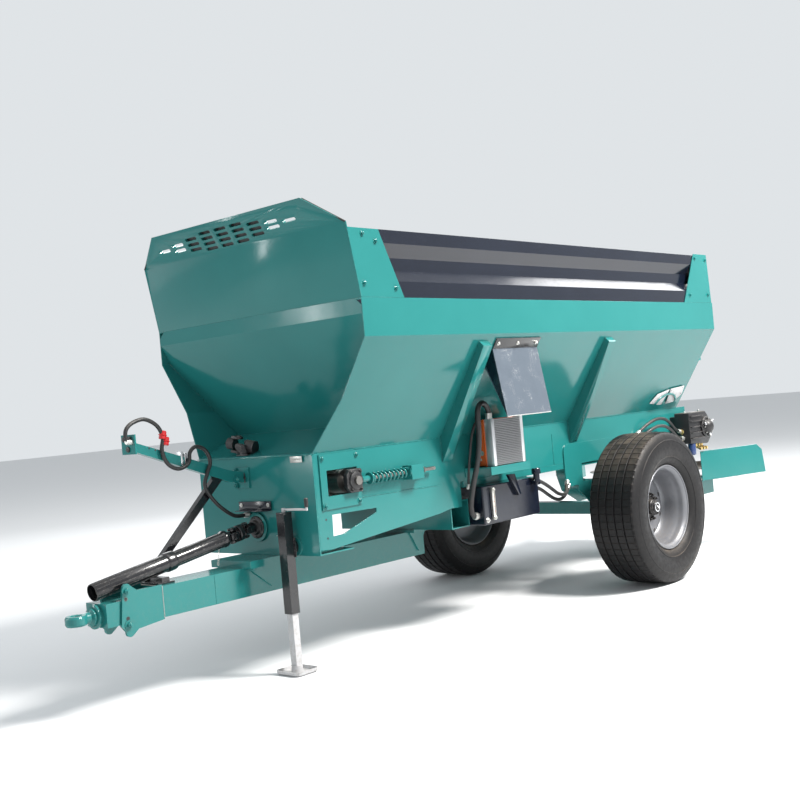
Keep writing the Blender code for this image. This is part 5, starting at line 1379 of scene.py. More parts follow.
# %% Hose runs
ARM_Y = -0.098
HOSE_Y = ARM_Y + 0.036
SUPPLY_GUIDES = (
    (3.657, 1.350), (3.676, 1.352), (3.693, 1.378), (3.685, 1.420), (3.640, 1.452),
    (3.565, 1.464), (3.490, 1.425), (3.458, 1.360), (3.470, 1.290), (3.440, 1.215),
    (3.370, 1.180), (3.300, 1.205), (3.285, 1.262), (3.240, 1.290), (3.175, 1.262),
    (3.150, 1.195), (3.180, 1.130), (3.200, 1.060), (3.130, 0.960), (3.020, 0.880),
    (2.935, 0.868), (FRONT_X + 0.0008, 0.868),
)
SUPPLY = [(x, HOSE_Y, z) for x, z in SUPPLY_GUIDES]
COOLER_RETURN = (
    (1.515, 0.668, 1.2836), (1.515, 0.668, 1.300), (1.515, 0.668, 1.335), (1.535, 0.668, 1.370),
    (1.575, 0.667, 1.385), (1.608, 0.666, 1.362), (1.620, 0.664, 1.310), (1.620, 0.661, 1.180),
    (1.620, 0.634, 1.030), (1.620, 0.585, 0.888), (1.618, 0.550, 0.760), (1.608, 0.545, 0.705),
    (1.585, 0.545, 0.682), (1.5558, 0.545, 0.680),
)
FAN_FEED = (
    (1.540, 0.600, 1.262), (1.575, 0.612, 1.266), (1.606, 0.612, 1.235), (1.622, 0.600, 1.170),
    (1.628, 0.585, 1.080), (1.622, 0.560, 0.980), (1.600, 0.530, 0.885), (1.590, 0.515, 0.860),
)
TANK_UPPER = (
    (0.955, 0.560, 0.835), (0.915, 0.575, 0.833), (0.850, 0.590, 0.800), (0.780, 0.600, 0.755),
    (0.720, 0.600, 0.722), (0.640, 0.590, 0.706), (0.560, 0.560, 0.716), (0.490, 0.520, 0.745),
    (0.452, 0.504, 0.775),
)
TANK_LOWER = (
    (0.955, 0.520, 0.800), (0.915, 0.530, 0.796), (0.850, 0.550, 0.765), (0.780, 0.560, 0.720),
    (0.720, 0.560, 0.690), (0.640, 0.550, 0.672), (0.560, 0.535, 0.680), (0.480, 0.515, 0.715),
    (0.440, 0.504, 0.750),
)
DRIVE_UPPER = (
    (-0.560, 0.506, 1.030), (-0.600, 0.520, 1.055), (-0.680, 0.540, 1.096),
    (-0.780, 0.560, 1.126), (-0.880, 0.575, 1.122), (-0.970, 0.580, 1.080),
    (-1.030, 0.585, 1.030), (-1.105, 0.590, 1.000),
)
DRIVE_LOWER = (
    (-0.560, 0.506, 0.980), (-0.610, 0.522, 1.005), (-0.690, 0.548, 1.045),
    (-0.780, 0.572, 1.070), (-0.860, 0.590, 1.064), (-0.940, 0.600, 1.026),
    (-1.020, 0.605, 0.965), (-1.105, 0.610, 0.945),
)
HOSE_RUNS = (
    ("supply_line", SUPPLY, 0.011, ("supply_hose",)),
    ("cooler_return_line", COOLER_RETURN, 0.017, ("cooler_return_hose",)),
    ("fan_feed_line", FAN_FEED, 0.008, ()),
    ("tank_line_upper", TANK_UPPER, 0.012, ()),
    ("tank_line_lower", TANK_LOWER, 0.012, ()),
    ("drive_line_upper", DRIVE_UPPER, 0.012, ()),
    ("drive_line_lower", DRIVE_LOWER, 0.012, ()),
)
fittings = bmesh.new()
for name, points, radius, stands_for in HOSE_RUNS:
    print(name, round(hose(name, points, radius, stands_for), 3), "m")
    fitting(fittings, points[0], points[1], radius)
    fitting(fittings, points[-1], points[-2], radius)
piece(fittings, "hose_fittings", "frame", ZINC)

# %% [markdown]
# On the arm hang two spare couplers with red caps. Straps hold the hose, and dark discs are
# painted shade for the ports where the tractor's hoses would go and for two small holes. All are
# short rods and blocks on the arm's own line.

# %% Couplers and straps on the arm


def arm_details():
    caps = bmesh.new()
    rim = [(0.0185, -0.004), (0.0230, -0.002), (0.0230, 0.002), (0.0185, 0.004)]
    for x, z in ((3.462, 1.372), (3.447, 1.338)):
        rod(caps, (x, HOSE_Y, z - 0.022), (x - 0.012, HOSE_Y, z + 0.022), 0.0200, 20, 0.0175,
            chamfer=0.003)
        turned(caps, rim, (x - 0.006, HOSE_Y, z), (-0.26, 0, 1), 20, ring=True)
    piece(caps, "coupler_caps", "frame", RED)
    straps = bmesh.new()
    for x in (3.330, 3.305):
        middle = 1.085 + (x - 2.90) * 0.333 + 0.006
        block(straps, (x - 0.008, ARM_Y - 0.0225, middle - 0.036),
              (x + 0.008, ARM_Y + 0.0225, middle + 0.036), 0.0015)
    piece(straps, "hose_straps", "frame", ALLOY)
    # Dark stubs and discs: painted shade for the ports' openings and two small holes.
    ports = bmesh.new()
    for y, z in ((ARM_Y + 0.022, 1.366), (ARM_Y - 0.030, 1.366), (ARM_Y, 1.312)):
        rod(ports, (3.6562, y, z), (3.6640, y, z), 0.0150, 20, chamfer=0.001)
        rod(ports, (3.6640, y, z), (3.6660, y, z), 0.0090, 12)
    for x in (3.500, 3.540):
        z = 1.295 + (x - 3.5) * 0.33
        rod(ports, (x, ARM_Y + 0.0200, z), (x, ARM_Y + 0.0212, z), 0.005, 10)
    piece(ports, "arm_port_shades", "frame", CAST)
    bolts("arm_bolts", [(2.960, ARM_Y + 0.0203, 1.078)], (0, 1, 0), TEAL, 0.024)
    base = [(FRONT_X + 0.0103, ARM_Y - 0.045, z) for z in (1.035, 1.122)]
    bolts("arm_base_bolts", base, (1, 0, 0), TEAL, 0.018)


arm_details()
print("arm details")

# %% [markdown]
# The cardan shaft has a double joint behind its cone, and a plastic guard of two tubes that
# slide in each other. Its end is open, so the inner profile bar is seen. The spare yoke rests
# on the ledge above, and the input stub has its flange and bolts.

# %% Joints and chain links
PIVOT = Vector((2.965, 0.0, 0.795))
TIP = Vector((4.012, 0.0, 0.622))
DOWN = (TIP - PIVOT).normalized()
REACH = (TIP - PIVOT).length
ACROSS = Vector((0, 1, 0))
UPWARD = DOWN.cross(ACROSS).normalized()
LINK_HALF, LINK_LONG, LINK_WIRE = 0.0052, 0.0072, 0.0014


def yoke(bm, centre, ahead, up, size=1.0):
    """One half of a universal joint: a hub and two ears with round ends."""
    side = ahead.cross(up).normalized()
    rod(bm, centre - ahead * 0.052 * size, centre - ahead * 0.018 * size, 0.026 * size, 20,
        chamfer=0.002)
    for way in (-1, 1):
        ear = centre + side * way * 0.026 * size
        foot = ear - ahead * 0.030 * size
        corners = [foot - up * 0.016 * size, foot + up * 0.016 * size]
        corners += [ear + ahead * a + up * b for a, b in arc((0.0, 0.0), 0.018 * size, 90, -90, 8)]
        plate(bm, corners, side * way * 0.010 * size, 0.0015)
        rod(bm, ear + side * way * 0.006 * size, ear + side * way * 0.013 * size, 0.011 * size, 14)


def chain_link(bm, place, turn, half=LINK_HALF, long=LINK_LONG, wire=LINK_WIRE, steps=10):
    """A long ring in its own XY plane, turned and put in place."""
    before = set(bm.verts)
    ring = []
    for i in range(steps):
        a, b = math.cos(math.tau * i / steps), math.sin(math.tau * i / steps)
        stretch = math.copysign(long - half, b) if abs(b) > 0.01 else 0.0
        ring.append((a * half, b * half + stretch, 0))
    for start, end in zip(ring, ring[1:] + ring[:1]):
        rod(bm, start, end, wire, 6)
    fresh = [vert for vert in bm.verts if vert not in before]
    bmesh.ops.transform(bm, verts=fresh, matrix=Matrix.Translation(place) @ turn)


print("shaft reach:", round(REACH, 3))

# %% Cardan shaft
JOINT_SIZE = 1.15
JOINTS = ((0.030, -1), (0.128, 1))
INNER_TUBE = [(0.030, 0.176), (0.0440, 0.178), (0.0470, 0.184), (0.0470, 0.200), (0.0405, 0.212),
              (0.0405, 0.560), (0.0375, 0.560), (0.0375, 0.205), (0.0300, 0.190)]
OUTER_TUBE = [(0.0415, 0.545), (0.0500, 0.548), (0.0520, 0.556), (0.0520, 0.596),
              (0.0500, 0.604), (0.0455, 0.608), (0.0450, REACH - 0.002), (0.0435, REACH),
              (0.0415, REACH), (0.0410, REACH - 0.002), (0.0410, 0.560)]
JOINT_NOSE = [(0.0, -0.016), (0.011, -0.011), (0.016, 0.0), (0.018, 0.012), (0.0, 0.012)]


def cardan_joint():
    bm = bmesh.new()
    for reach, way in JOINTS:
        cross = PIVOT + DOWN * reach
        yoke(bm, cross, DOWN * way, ACROSS, JOINT_SIZE)
        yoke(bm, cross, DOWN * -way, UPWARD, JOINT_SIZE)
        for arm in (ACROSS, UPWARD):
            rod(bm, cross - arm * 0.040, cross + arm * 0.040, 0.009, 12)
    rod(bm, PIVOT + DOWN * 0.064, PIVOT + DOWN * 0.094, 0.046, 28, chamfer=0.004)
    turned(bm, JOINT_NOSE, PIVOT, DOWN, 24)
    piece(bm, "cardan_joint", "shaft", BLACK, replaces=("pto_shaft",))


def guard_tube(name, profile, start, end, ribs, circle, rib):
    """One tube of the guard, with fine ribs along it."""
    bm = bmesh.new()
    turned(bm, profile, PIVOT, DOWN, 40, ring=True)
    for arm in spokes(ribs, 0.0, ACROSS, UPWARD):
        rod(bm, PIVOT + DOWN * start + arm * circle, PIVOT + DOWN * end + arm * circle, rib, 6)
    piece(bm, name, "shaft", BLACK)


def profile_bar():
    """The inner bar has three round lobes, so that it can slide and still turn its partner."""
    lobes = []
    for i in range(3):
        turn = math.tau * i / 3
        lobes += arc((0.016 * math.cos(turn), 0.016 * math.sin(turn)), 0.010,
                     120 * i - 70, 120 * i + 70, 5)
    bm = bmesh.new()
    corners = [PIVOT + DOWN * 0.300 + ACROSS * a + UPWARD * b for a, b in lobes]
    plate(bm, corners, DOWN * (REACH - 0.330))
    piece(bm, "shaft_profile_bar", "shaft", STEEL)


def guard_chain():
    bm = bmesh.new()
    start = PIVOT + DOWN * 0.230 - Vector((0, 0, 0.044))
    for i in range(7):
        turn = Matrix.Rotation(math.pi / 2 * (i % 2), 4, "Z") @ Matrix.Rotation(math.pi / 2, 4, "X")
        chain_link(bm, start + Vector((0.004, 0.002, -0.013)) * i, turn)
    piece(bm, "guard_chain", "shaft", ZINC)


cardan_joint()
guard_tube("shaft_guard_inner", INNER_TUBE, 0.205, 0.556, 10, 0.0405, 0.0022)
guard_tube("shaft_guard_outer", OUTER_TUBE, 0.612, REACH - 0.004, 14, 0.0448, 0.0017)
profile_bar()
guard_chain()
print("cardan shaft done")

# %% [markdown]
# The shaft drives the machine through a stub in the front plate, with a turned flange and six
# small bolts. Around it are an angle that the shaft can hang from, grease points and a dark
# keyhole slot drawn as painted shade.

# %% Input of the machine
FLANGE = [(0.0, 0.0), (0.062, 0.0), (0.062, 0.010), (0.058, 0.013), (0.044, 0.014),
          (0.040, 0.018), (0.036, 0.030), (0.024, 0.034), (0.018, 0.034), (0.018, 0.052),
          (0.0, 0.052)]
FLANGE_RING = [(0.066, 0.0), (0.084, 0.0), (0.084, 0.004), (0.082, 0.006), (0.066, 0.006)]
AHEAD = Vector((1, 0, 0))


def input_flange():
    centre = Vector((FRONT_X + 0.0003, 0, PIVOT.z))
    flange = bmesh.new()
    turned(flange, FLANGE, centre, AHEAD, 40)
    for arm in spokes(6, 0.5, ACROSS, Vector((0, 0, 1))):
        bolt(flange, centre + AHEAD * 0.012 + arm * 0.052, AHEAD, 0.009)
    piece(flange, "input_flange", "frame", CAST, replaces=("pto_input",))
    ring = bmesh.new()
    turned(ring, FLANGE_RING, centre, AHEAD, 48, ring=True)
    piece(ring, "input_ring", "frame", TEAL)


input_flange()
print("input flange")

# %% Front face of the trough


def front_details():
    x = FRONT_X
    angle = bmesh.new()
    block(angle, (x + 0.0004, -0.140, 0.889), (x + 0.005, 0.135, 0.943), 0.001)
    block(angle, (x + 0.0008, -0.1396, 0.8892), (x + 0.040, 0.1346, 0.8935), 0.001)
    piece(angle, "shaft_hanger_angle", "frame", NAVY)
    bolts("angle_screws", [(x + 0.005, y, 0.922) for y in (-0.118, 0.113)], AHEAD, ZINC, 0.012)
    grease = bmesh.new()
    for y in (0.345, 0.372, 0.399):
        rod(grease, (x, y, 1.172), (x + 0.008, y, 1.172), 0.006, 6)
        rod(grease, (x + 0.008, y, 1.172), (x + 0.020, y, 1.172), 0.0032, 10, 0.0020)
    block(grease, (x + 0.0003, 0.325, 1.155), (x + 0.004, 0.420, 1.189), 0.001)
    piece(grease, "grease_points", "frame", ZINC)
    top = bmesh.new()
    block(top, (x - 0.006, -TROUGH_Y, 1.1935), (x + 0.002, TROUGH_Y, 1.1990), 0.001)
    piece(top, "ledge_edge", "frame", TEAL)
    # A thin dark plate and disc: painted shade for the keyhole slot.
    key = bmesh.new()
    block(key, (x + 0.0104, ARM_Y + 0.032, 1.052), (x + 0.0112, ARM_Y + 0.040, 1.108), 0.001)
    rod(key, (x + 0.0104, ARM_Y + 0.036, 1.080), (x + 0.0113, ARM_Y + 0.036, 1.080), 0.009, 16)
    piece(key, "keyhole_shade", "frame", CAST)


def spare_yoke():
    """A spare joint on the ledge, its two halves turned by a quarter."""
    bm = bmesh.new()
    lengthwise = Vector((0.25, -0.95, 0.18))
    yoke(bm, Vector((2.860, -0.100, 1.262)), lengthwise.normalized(),
         Vector((0.2, -0.13, 0.97)).normalized(), 1.5)
    yoke(bm, Vector((2.858, -0.150, 1.272)), -lengthwise.normalized(),
         Vector((0.97, 0.25, -0.05)).normalized(), 1.35)
    rod(bm, (2.860, -0.100, 1.212), (2.860, -0.100, 1.262), 0.030, 20)
    block(bm, (2.820, -0.150, 1.206), (2.886, -0.050, 1.214), 0.002)
    piece(bm, "spare_yoke", "frame", CAST)


front_details()
spare_yoke()
print("front face done")

# %% [markdown]
# Parking jack: a square tube on a swivel plate. The crank is a bent rod with a rubber grip, and
# the foot's pan gets a collar and a cross pin. The leg slides, so both ride on the foot.

# %% Parking jack
JACK = Vector((2.962, 0.300, 0.690))
JACK_HALF = 0.0300
JACK_WALL = 0.0068
JACK_TOP = node_box("jack_tube")[1].z - 0.073
JACK_FOOT = node_box("jack_tube")[0].z
CRANK_ARM = 0.186
CRANK_R = 0.0065
GRIP = [(0.0, 0.0), (0.009, 0.0), (0.0115, 0.006), (0.0105, 0.016), (0.0118, 0.026),
        (0.0105, 0.036), (0.0115, 0.046), (0.008, 0.050), (0.0, 0.050)]
COLLAR = [(0.024, 0.006), (0.036, 0.006), (0.036, 0.010), (0.030, 0.028), (0.024, 0.028)]


def jack_crank():
    axis = Vector((JACK.x, JACK.y, JACK_TOP))
    end = axis + Vector((0, CRANK_ARM, 0))
    rise = Vector((0, 0, 1))
    bm = bmesh.new()
    rod(bm, axis - rise * 0.014, axis + rise * 0.014, 0.0115, 16, chamfer=0.001)
    rod(bm, axis + rise * 0.006, end + rise * 0.006, CRANK_R, 12)
    rod(bm, end, end + rise * 0.030, CRANK_R, 12)
    piece(bm, "jack_crank", "jack", WHITE)
    grip = bmesh.new()
    turned(grip, GRIP, end + rise * 0.018, rise, 20)
    piece(grip, "crank_grip", "jack", HOSE)


def jack_body():
    """Four walls, a cap, the swivel boss and its plate."""
    x, y, z = JACK
    half, top = JACK_HALF, JACK_TOP - 0.016
    gap = half - JACK_WALL - 0.0002
    bm = bmesh.new()
    for side in (-1, 1):
        low, high = sorted((y + side * half, y + side * (half - JACK_WALL)))
        block(bm, (x - half, low, JACK_FOOT), (x + half, high, top))
        low, high = sorted((x + side * half, x + side * (half - JACK_WALL)))
        block(bm, (low + 0.0001, y - gap, JACK_FOOT), (high, y + gap, top))
    lid = half + 0.0015
    block(bm, (x - lid, y - lid, JACK_TOP - 0.022), (x + lid, y + lid, JACK_TOP - 0.008), 0.003)
    rod(bm, (FRONT_X + 0.0086, y, z), (x - half, y, z), 0.040, 36, chamfer=0.002)
    block(bm, (x - 0.034, y - 0.040, z - 0.055), (x - 0.029, y + 0.040, z + 0.055), 0.003)
    piece(bm, "jack_body", "jack", BLACK, replaces=("jack_tube",))


def jack_pin():
    """The locking pin, its ring and a slack chain, clear of the leg behind them."""
    pin = Vector((FRONT_X + 0.022, JACK.y, JACK.z))
    bm = bmesh.new()
    rod(bm, pin + Vector((0, 0, 0.030)), pin + Vector((0, 0, 0.062)), 0.006, 12)
    upright = Matrix.Rotation(math.pi / 2, 4, "X")
    chain_link(bm, pin + Vector((0, 0, 0.070)), upright, 0.010, 0.012, 0.0018)
    for i in range(9):
        sag = 0.014 * math.sin(math.pi * i / 8)
        place = pin + Vector((0, -0.012 * i - 0.010, 0.062 - sag))
        chain_link(bm, place, Matrix.Rotation(math.pi / 2 * (i % 2), 4, "Y"), long=0.0078)
    piece(bm, "jack_pin_chain", "jack", ZINC)


def foot_collar():
    bm = bmesh.new()
    rod(bm, (JACK.x, JACK.y - 0.030, 0.040), (JACK.x, JACK.y + 0.030, 0.040), 0.006, 12)
    turned(bm, COLLAR, (JACK.x, JACK.y, 0.0), (0, 0, 1), 28, ring=True)
    piece(bm, "foot_collar", "foot", WHITE)


jack_crank()
jack_body()
jack_pin()
foot_collar()
print("jack done")

# %% [markdown]
# Welds are what makes folded plates a machine. From afar a bead is a thin rod that follows a
# joint. Beside the tow eye it is seen from near, so it is drawn as short overlapping drops.

# %% Welds
BEAM_HALF = 0.100
HEAD_X = 3.6625
HEAD_LEVELS_Z = (0.4375, 0.5975)
RIB_XS = (1.745, 0.315)


def drops(bm, start, end, radius=0.0030):
    """Overlapping drops, for a short weld that is seen from near."""
    start, end = Vector(start), Vector(end)
    count = max(2, round((end - start).length / (radius * 1.5)))
    for i in range(count + 1):
        place = Matrix.Translation(start.lerp(end, i / count))
        bmesh.ops.create_icosphere(bm, subdivisions=1, radius=radius, matrix=place)


def side_welds():
    """Beads along the trough's sides and beside the ribs' feet. A line is x, z, x, z, radius."""
    lines = ((2.535, 0.919, 1.830, 0.908, 0.0030), (0.577, 0.906, 0.577, 1.120, 0.0030),
             (-1.250, 1.1955, 2.560, 1.1955, 0.0034))
    bm = bmesh.new()
    for side in (-1, 1):
        y = side * (BEAM_HALF + 0.0004)
        rod(bm, (3.320, y, 0.440), (3.320, y, 0.596), 0.0016, 6)
        y = side * (TROUGH_Y + 0.0006)
        for x, z, end_x, end_z, radius in lines:
            rod(bm, (x, y, z), (end_x, y, end_z), radius, 6)
        y = side * (TROUGH_Y + 0.001)
        for x in RIB_XS:
            for away in (-0.046, 0.046):
                rod(bm, (x + away, y, 1.048), (x + away, y, 1.196), 0.0026, 6)
    piece(bm, "side_welds", "frame", TEAL)


welds = bmesh.new()
for z in HEAD_LEVELS_Z:
    drops(welds, (HEAD_X, -BEAM_HALF, z), (HEAD_X, BEAM_HALF, z))
for side in (-1, 1):
    drops(welds, *((HEAD_X, side * BEAM_HALF, z) for z in HEAD_LEVELS_Z))
piece(welds, "hitch_weld", "frame", ZINC)
side_welds()
print("welds drawn")

# %% [markdown]
# Plates are joined by bolts where they must come off again. The open holes beside them are
# shallow dark discs, painted shade in place of the holes. At the axle, four studs on each side
# pass through a clamp plate.

# %% Hitch, beam and axle clamps
COLLAR_RING = [(0.047, 0.0), (0.062, 0.0), (0.062, 0.010), (0.058, 0.013), (0.047, 0.013)]


# Dark discs on the beam and the trough's sides are painted shade for open holes.
def hole_shade_discs(tag, sign):
    bm = bmesh.new()
    for x, z in ((3.888, 0.572), (3.884, 0.474)):
        rod(bm, (x, sign * (BEAM_HALF - 0.001), z), (x, sign * (BEAM_HALF + 0.0006), z), 0.0105, 20)
    for x, z in ((2.827, 0.828), (2.825, 0.725)):
        rod(bm, (x, sign * (TROUGH_Y - 0.001), z), (x, sign * (TROUGH_Y + 0.0005), z), 0.006, 14)
    piece(bm, f"hole_shade_discs_{tag}", "frame", CAST)


def axle_clamp(tag, sign):
    bm = bmesh.new()
    for x in (-0.062, 0.062):
        for y in (sign * 0.515, sign * 0.585):
            rod(bm, (x, y, WHEEL_Z - 0.062), (x, y, WHEEL_Z + 0.072), 0.0075, 12)
            rod(bm, (x, y, WHEEL_Z - 0.060), (x, y, WHEEL_Z - 0.048), 0.014, 6)
    near, far = sorted((sign * 0.500, sign * 0.600))
    block(bm, (-0.080, near, WHEEL_Z - 0.048), (0.080, far, WHEEL_Z - 0.0452), 0.001)
    piece(bm, f"axle_clamp_{tag}", "frame", TEAL)


for tag, sign in SIDES:
    places = [(3.884, sign * BEAM_HALF, 0.612), (3.881, sign * BEAM_HALF, 0.442)]
    bolts(f"hitch_bolts_{tag}", places, (0, sign, 0), TEAL, 0.026)
    hole_shade_discs(tag, sign)
    places = [(x, sign * 0.145, 0.598) for x in (2.770, 3.080)]
    bolts(f"pad_bolts_{tag}", places, (0, 0, -1), TEAL, 0.022)
    axle_clamp(tag, sign)
collar = bmesh.new()
turned(collar, COLLAR_RING, (4.0095, 0, 0.503), AHEAD, 40, ring=True)
piece(collar, "hitch_collar", "frame", TEAL)
print("hitch details")

# %% [markdown]
# Conveyor: four steel chains run round the drums, with angle bars bolted across them. The
# model holds the loop as one ring. The real one is drawn as link plates and bars, each put on
# the chain's path by the distance travelled, and the sprockets sit on the two shafts.

# %% Chain path
loop_low, loop_high = node_box("conveyor_loop")
CHAIN_R = (loop_high.z - loop_low.z) / 2 - 0.027
REAR_X, IDLER_X = -1.275, BEARING_X
CHAIN_YS = (-0.330, -0.110, 0.110, 0.330)
SPAN = IDLER_X - REAR_X
BEND = math.pi * CHAIN_R
LOOP_LONG = 2 * (SPAN + BEND)


def loop_place(distance):
    """Point and travel direction on the chain's path, at a distance along it."""
    distance %= LOOP_LONG
    if distance < SPAN:
        return Vector((REAR_X + distance, 0, SHAFT_Z + CHAIN_R)), 0.0
    distance -= SPAN
    if distance < BEND:
        turn = distance / CHAIN_R
        x = IDLER_X + CHAIN_R * math.sin(turn)
        return Vector((x, 0, SHAFT_Z + CHAIN_R * math.cos(turn))), turn
    distance -= BEND
    if distance < SPAN:
        return Vector((IDLER_X - distance, 0, SHAFT_Z - CHAIN_R)), math.pi
    turn = (distance - SPAN) / CHAIN_R
    x = REAR_X - CHAIN_R * math.sin(turn)
    return Vector((x, 0, SHAFT_Z - CHAIN_R * math.cos(turn))), math.pi + turn


def block_on_loop(bm, low, high, distance):
    """A box drawn round the path's point, turned with the chain."""
    place, turn = loop_place(distance)
    verts = block(bm, low, high)
    matrix = Matrix.Translation(place) @ Matrix.Rotation(turn, 4, "Y")
    bmesh.ops.transform(bm, verts=verts, matrix=matrix)


print("chain length:", round(LOOP_LONG, 3))

# %% Chain floor
LINK_COUNT = round(LOOP_LONG / 0.060)
BAR_COUNT = 26
BAR_START = 0.14
SPROCKET = [(0.024, -0.012), (0.064, -0.004), (0.064, 0.004), (0.024, 0.012)]


def chain_floor():
    chains = bmesh.new()
    for i in range(LINK_COUNT):
        wide = 0.011 if i % 2 else 0.006
        for middle in [y + side * wide for y in CHAIN_YS for side in (-1, 1)]:
            block_on_loop(chains, (-0.036, middle - 0.002, -0.007), (0.036, middle + 0.002, 0.007),
                          LOOP_LONG / LINK_COUNT * i)
    piece(chains, "floor_chains", "frame", STEEL, replaces=("conveyor_loop",))
    bars = bmesh.new()
    for i in range(BAR_COUNT):
        distance = LOOP_LONG * i / BAR_COUNT + BAR_START
        block_on_loop(bars, (-0.020, -0.428, 0.004), (0.020, 0.428, 0.008), distance)
        block_on_loop(bars, (0.0155, -0.4275, 0.0050), (0.0192, 0.4275, 0.026), distance)
    piece(bars, "floor_bars", "frame", STEEL)
    wheels = bmesh.new()
    for x in (REAR_X, IDLER_X):
        for y in CHAIN_YS:
            turned(wheels, SPROCKET, (x, y, SHAFT_Z), ACROSS, 24, ring=True)
    piece(wheels, "chain_sprockets", "frame", CAST)


chain_floor()
print("chain floor:", LINK_COUNT, "links,", BAR_COUNT, "bars")

# %% [markdown]
# The rear drive is a cast gearbox with a hydraulic motor on it. Castings are never flat, so the
# shapes are turned or softened: a round cover with bolts, three lobes, a ribbed box, a blue
# filter below and brass fittings for the hoses.

# %% Gearbox
BOX_OUTLINE = ((-1.110, 0.900), (-1.410, 0.882), (-1.462, 0.930), (-1.462, 1.088),
               (-1.400, 1.148), (-1.110, 1.148))
BOX_RIBS = (0.940, 0.985, 1.030, 1.075, 1.115)
FILTER = [(0.0, 0.0), (0.020, 0.0), (0.028, 0.004), (0.030, 0.012), (0.030, 0.086),
          (0.026, 0.094), (0.0, 0.094)]


def gearbox():
    bm = bmesh.new()
    plate(bm, [(x, 0.545, z) for x, z in BOX_OUTLINE], (0, 0.128, 0), 0.012)
    block(bm, (-1.215, TROUGH_Y + 0.0008, 0.960), (-1.130, 0.550, 1.120), 0.004)
    for z in BOX_RIBS:
        block(bm, (-1.330, 0.666, z - 0.004), (-1.118, 0.690, z + 0.004), 0.002)
    piece(bm, "gearbox_casting", "frame", CAST, replaces=("conveyor_gearbox",))
    oil = bmesh.new()
    turned(oil, FILTER, (-1.180, 0.640, 0.8050), (0, 0, 1), 30)
    piece(oil, "oil_filter", "frame", BLUE)
    ports = bmesh.new()
    for z in (1.000, 0.945):
        rod(ports, (-1.115, 0.600, z), (-1.101, 0.600, z), 0.021, 6, chamfer=0.002)
    for x in (-1.270, -1.320, -1.365):
        rod(ports, (x, 0.630, 0.892), (x, 0.630, 0.862), 0.013, 6)
        rod(ports, (x, 0.630, 0.864), (x, 0.664, 0.852), 0.009, 12)
        rod(ports, (x, 0.660, 0.853), (x, 0.680, 0.848), 0.013, 6)
    piece(ports, "hose_ports", "frame", BRASS)


gearbox()
print("gearbox")

# %% Motor cover
MOTOR = Vector((-1.380, 0.672, 1.020))
COVER = [(0.0, 0.0), (0.084, 0.0), (0.084, 0.012), (0.078, 0.018), (0.060, 0.022),
         (0.054, 0.040), (0.036, 0.056), (0.020, 0.064), (0.0, 0.066)]
COVER_CIRCLE = 0.066
LOBE_ANGLES = (0.4, 2.5, 4.6)


def motor_cover():
    bosses = [MOTOR + arm * COVER_CIRCLE for arm in spokes(8)]
    cover = bmesh.new()
    turned(cover, COVER, MOTOR, ACROSS, 40)
    for place in bosses:
        rod(cover, place + ACROSS * 0.012, place + ACROSS * 0.028, 0.014, 10, 0.010)
    piece(cover, "motor_cover", "frame", CAST)
    spider = bmesh.new()
    hub = MOTOR + ACROSS * 0.030
    for angle in LOBE_ANGLES:
        tip = hub + spoke(angle) * 0.074
        rod(spider, hub + spoke(angle) * 0.036, tip, 0.013, 12, 0.009)
        rod(spider, tip, tip + ACROSS * 0.012, 0.011, 12, chamfer=0.001)
    piece(spider, "motor_spider", "frame", ALLOY)
    caps = bmesh.new()
    for place in bosses:
        bolt(caps, place + ACROSS * 0.028, ACROSS, 0.011, False)
    for x in (-1.140, -1.380):
        bolt(caps, (x, 0.620, 1.148), (0, 0, 1), 0.016)
    block(caps, (-1.330, 0.560, 1.1485), (-1.170, 0.660, 1.1500), 0.0005)
    piece(caps, "motor_bolts", "frame", ZINC)


motor_cover()
print("motor cover")

# %% [markdown]
# The gate's scale sits on the hopper's sloped wall. It is drawn flat, in a frame whose Z
# points out of the wall, and one matrix lays it on the slope.

# %% Gate scale
SCALE_FRONT = ((-1.190, 0.088), (-1.212, 0.012), (-1.120, -0.056), (-1.010, -0.066),
               (-0.980, 0.070))
SCALE_REAR = ((-0.960, 0.066), (-0.940, -0.068), (-0.900, -0.070), (-0.738, -0.048),
              (-0.802, 0.032))
RIVETS = ((-1.175, 0.070), (-1.185, 0.016), (-1.030, -0.048), (-1.000, 0.054),
          (-0.930, -0.054), (-0.770, -0.036))
SCALE_RISE = 0.0095
DIAL_FOOT = Vector((-0.985, -0.240, 0.0126))
DIAL_R = 0.270


def slope_frame(z):
    """Frame on the left slope: X along the machine, Y up the slope, Z out."""
    turn = Matrix.Rotation(math.pi / 2 - math.atan(WALL_SLOPE), 4, "X")
    return Matrix.Translation((0, wall_y(z), z)) @ turn @ Matrix.Scale(-1.0, 4, (0, 0, 1))


def on_slope(bm):
    bmesh.ops.transform(bm, verts=bm.verts, matrix=slope_frame(1.300))


def scale_plates():
    bm = bmesh.new()
    for outline in (SCALE_FRONT, SCALE_REAR):
        plate(bm, [(x, y, SCALE_RISE) for x, y in outline], (0, 0, 0.0030), 0.0006)
    for x in (-0.860, -1.140):
        rod(bm, (x, 0, 0.0006), (x, 0, 0.0100), 0.008, 12)
    on_slope(bm)
    piece(bm, "scale_plates", "frame", WHITE, replaces=("gate_scale",))


def scale_marks():
    bm = bmesh.new()
    for i in range(9):
        arm = spoke(math.radians(115 - 12 * i), second=ACROSS)
        side = Vector((-arm.y, arm.x, 0)) * 0.0014
        foot = DIAL_FOOT + arm * DIAL_R
        tip = foot + arm * 0.022
        if -1.19 < foot.x < -0.80:
            plate(bm, [foot - side, foot + side, tip + side, tip - side], (0, 0, 0.0003))
    for x, y in RIVETS:
        rod(bm, (x, y, 0.0124), (x, y, 0.0142), 0.0042, 12, 0.003)
    on_slope(bm)
    piece(bm, "scale_marks", "frame", CAST)


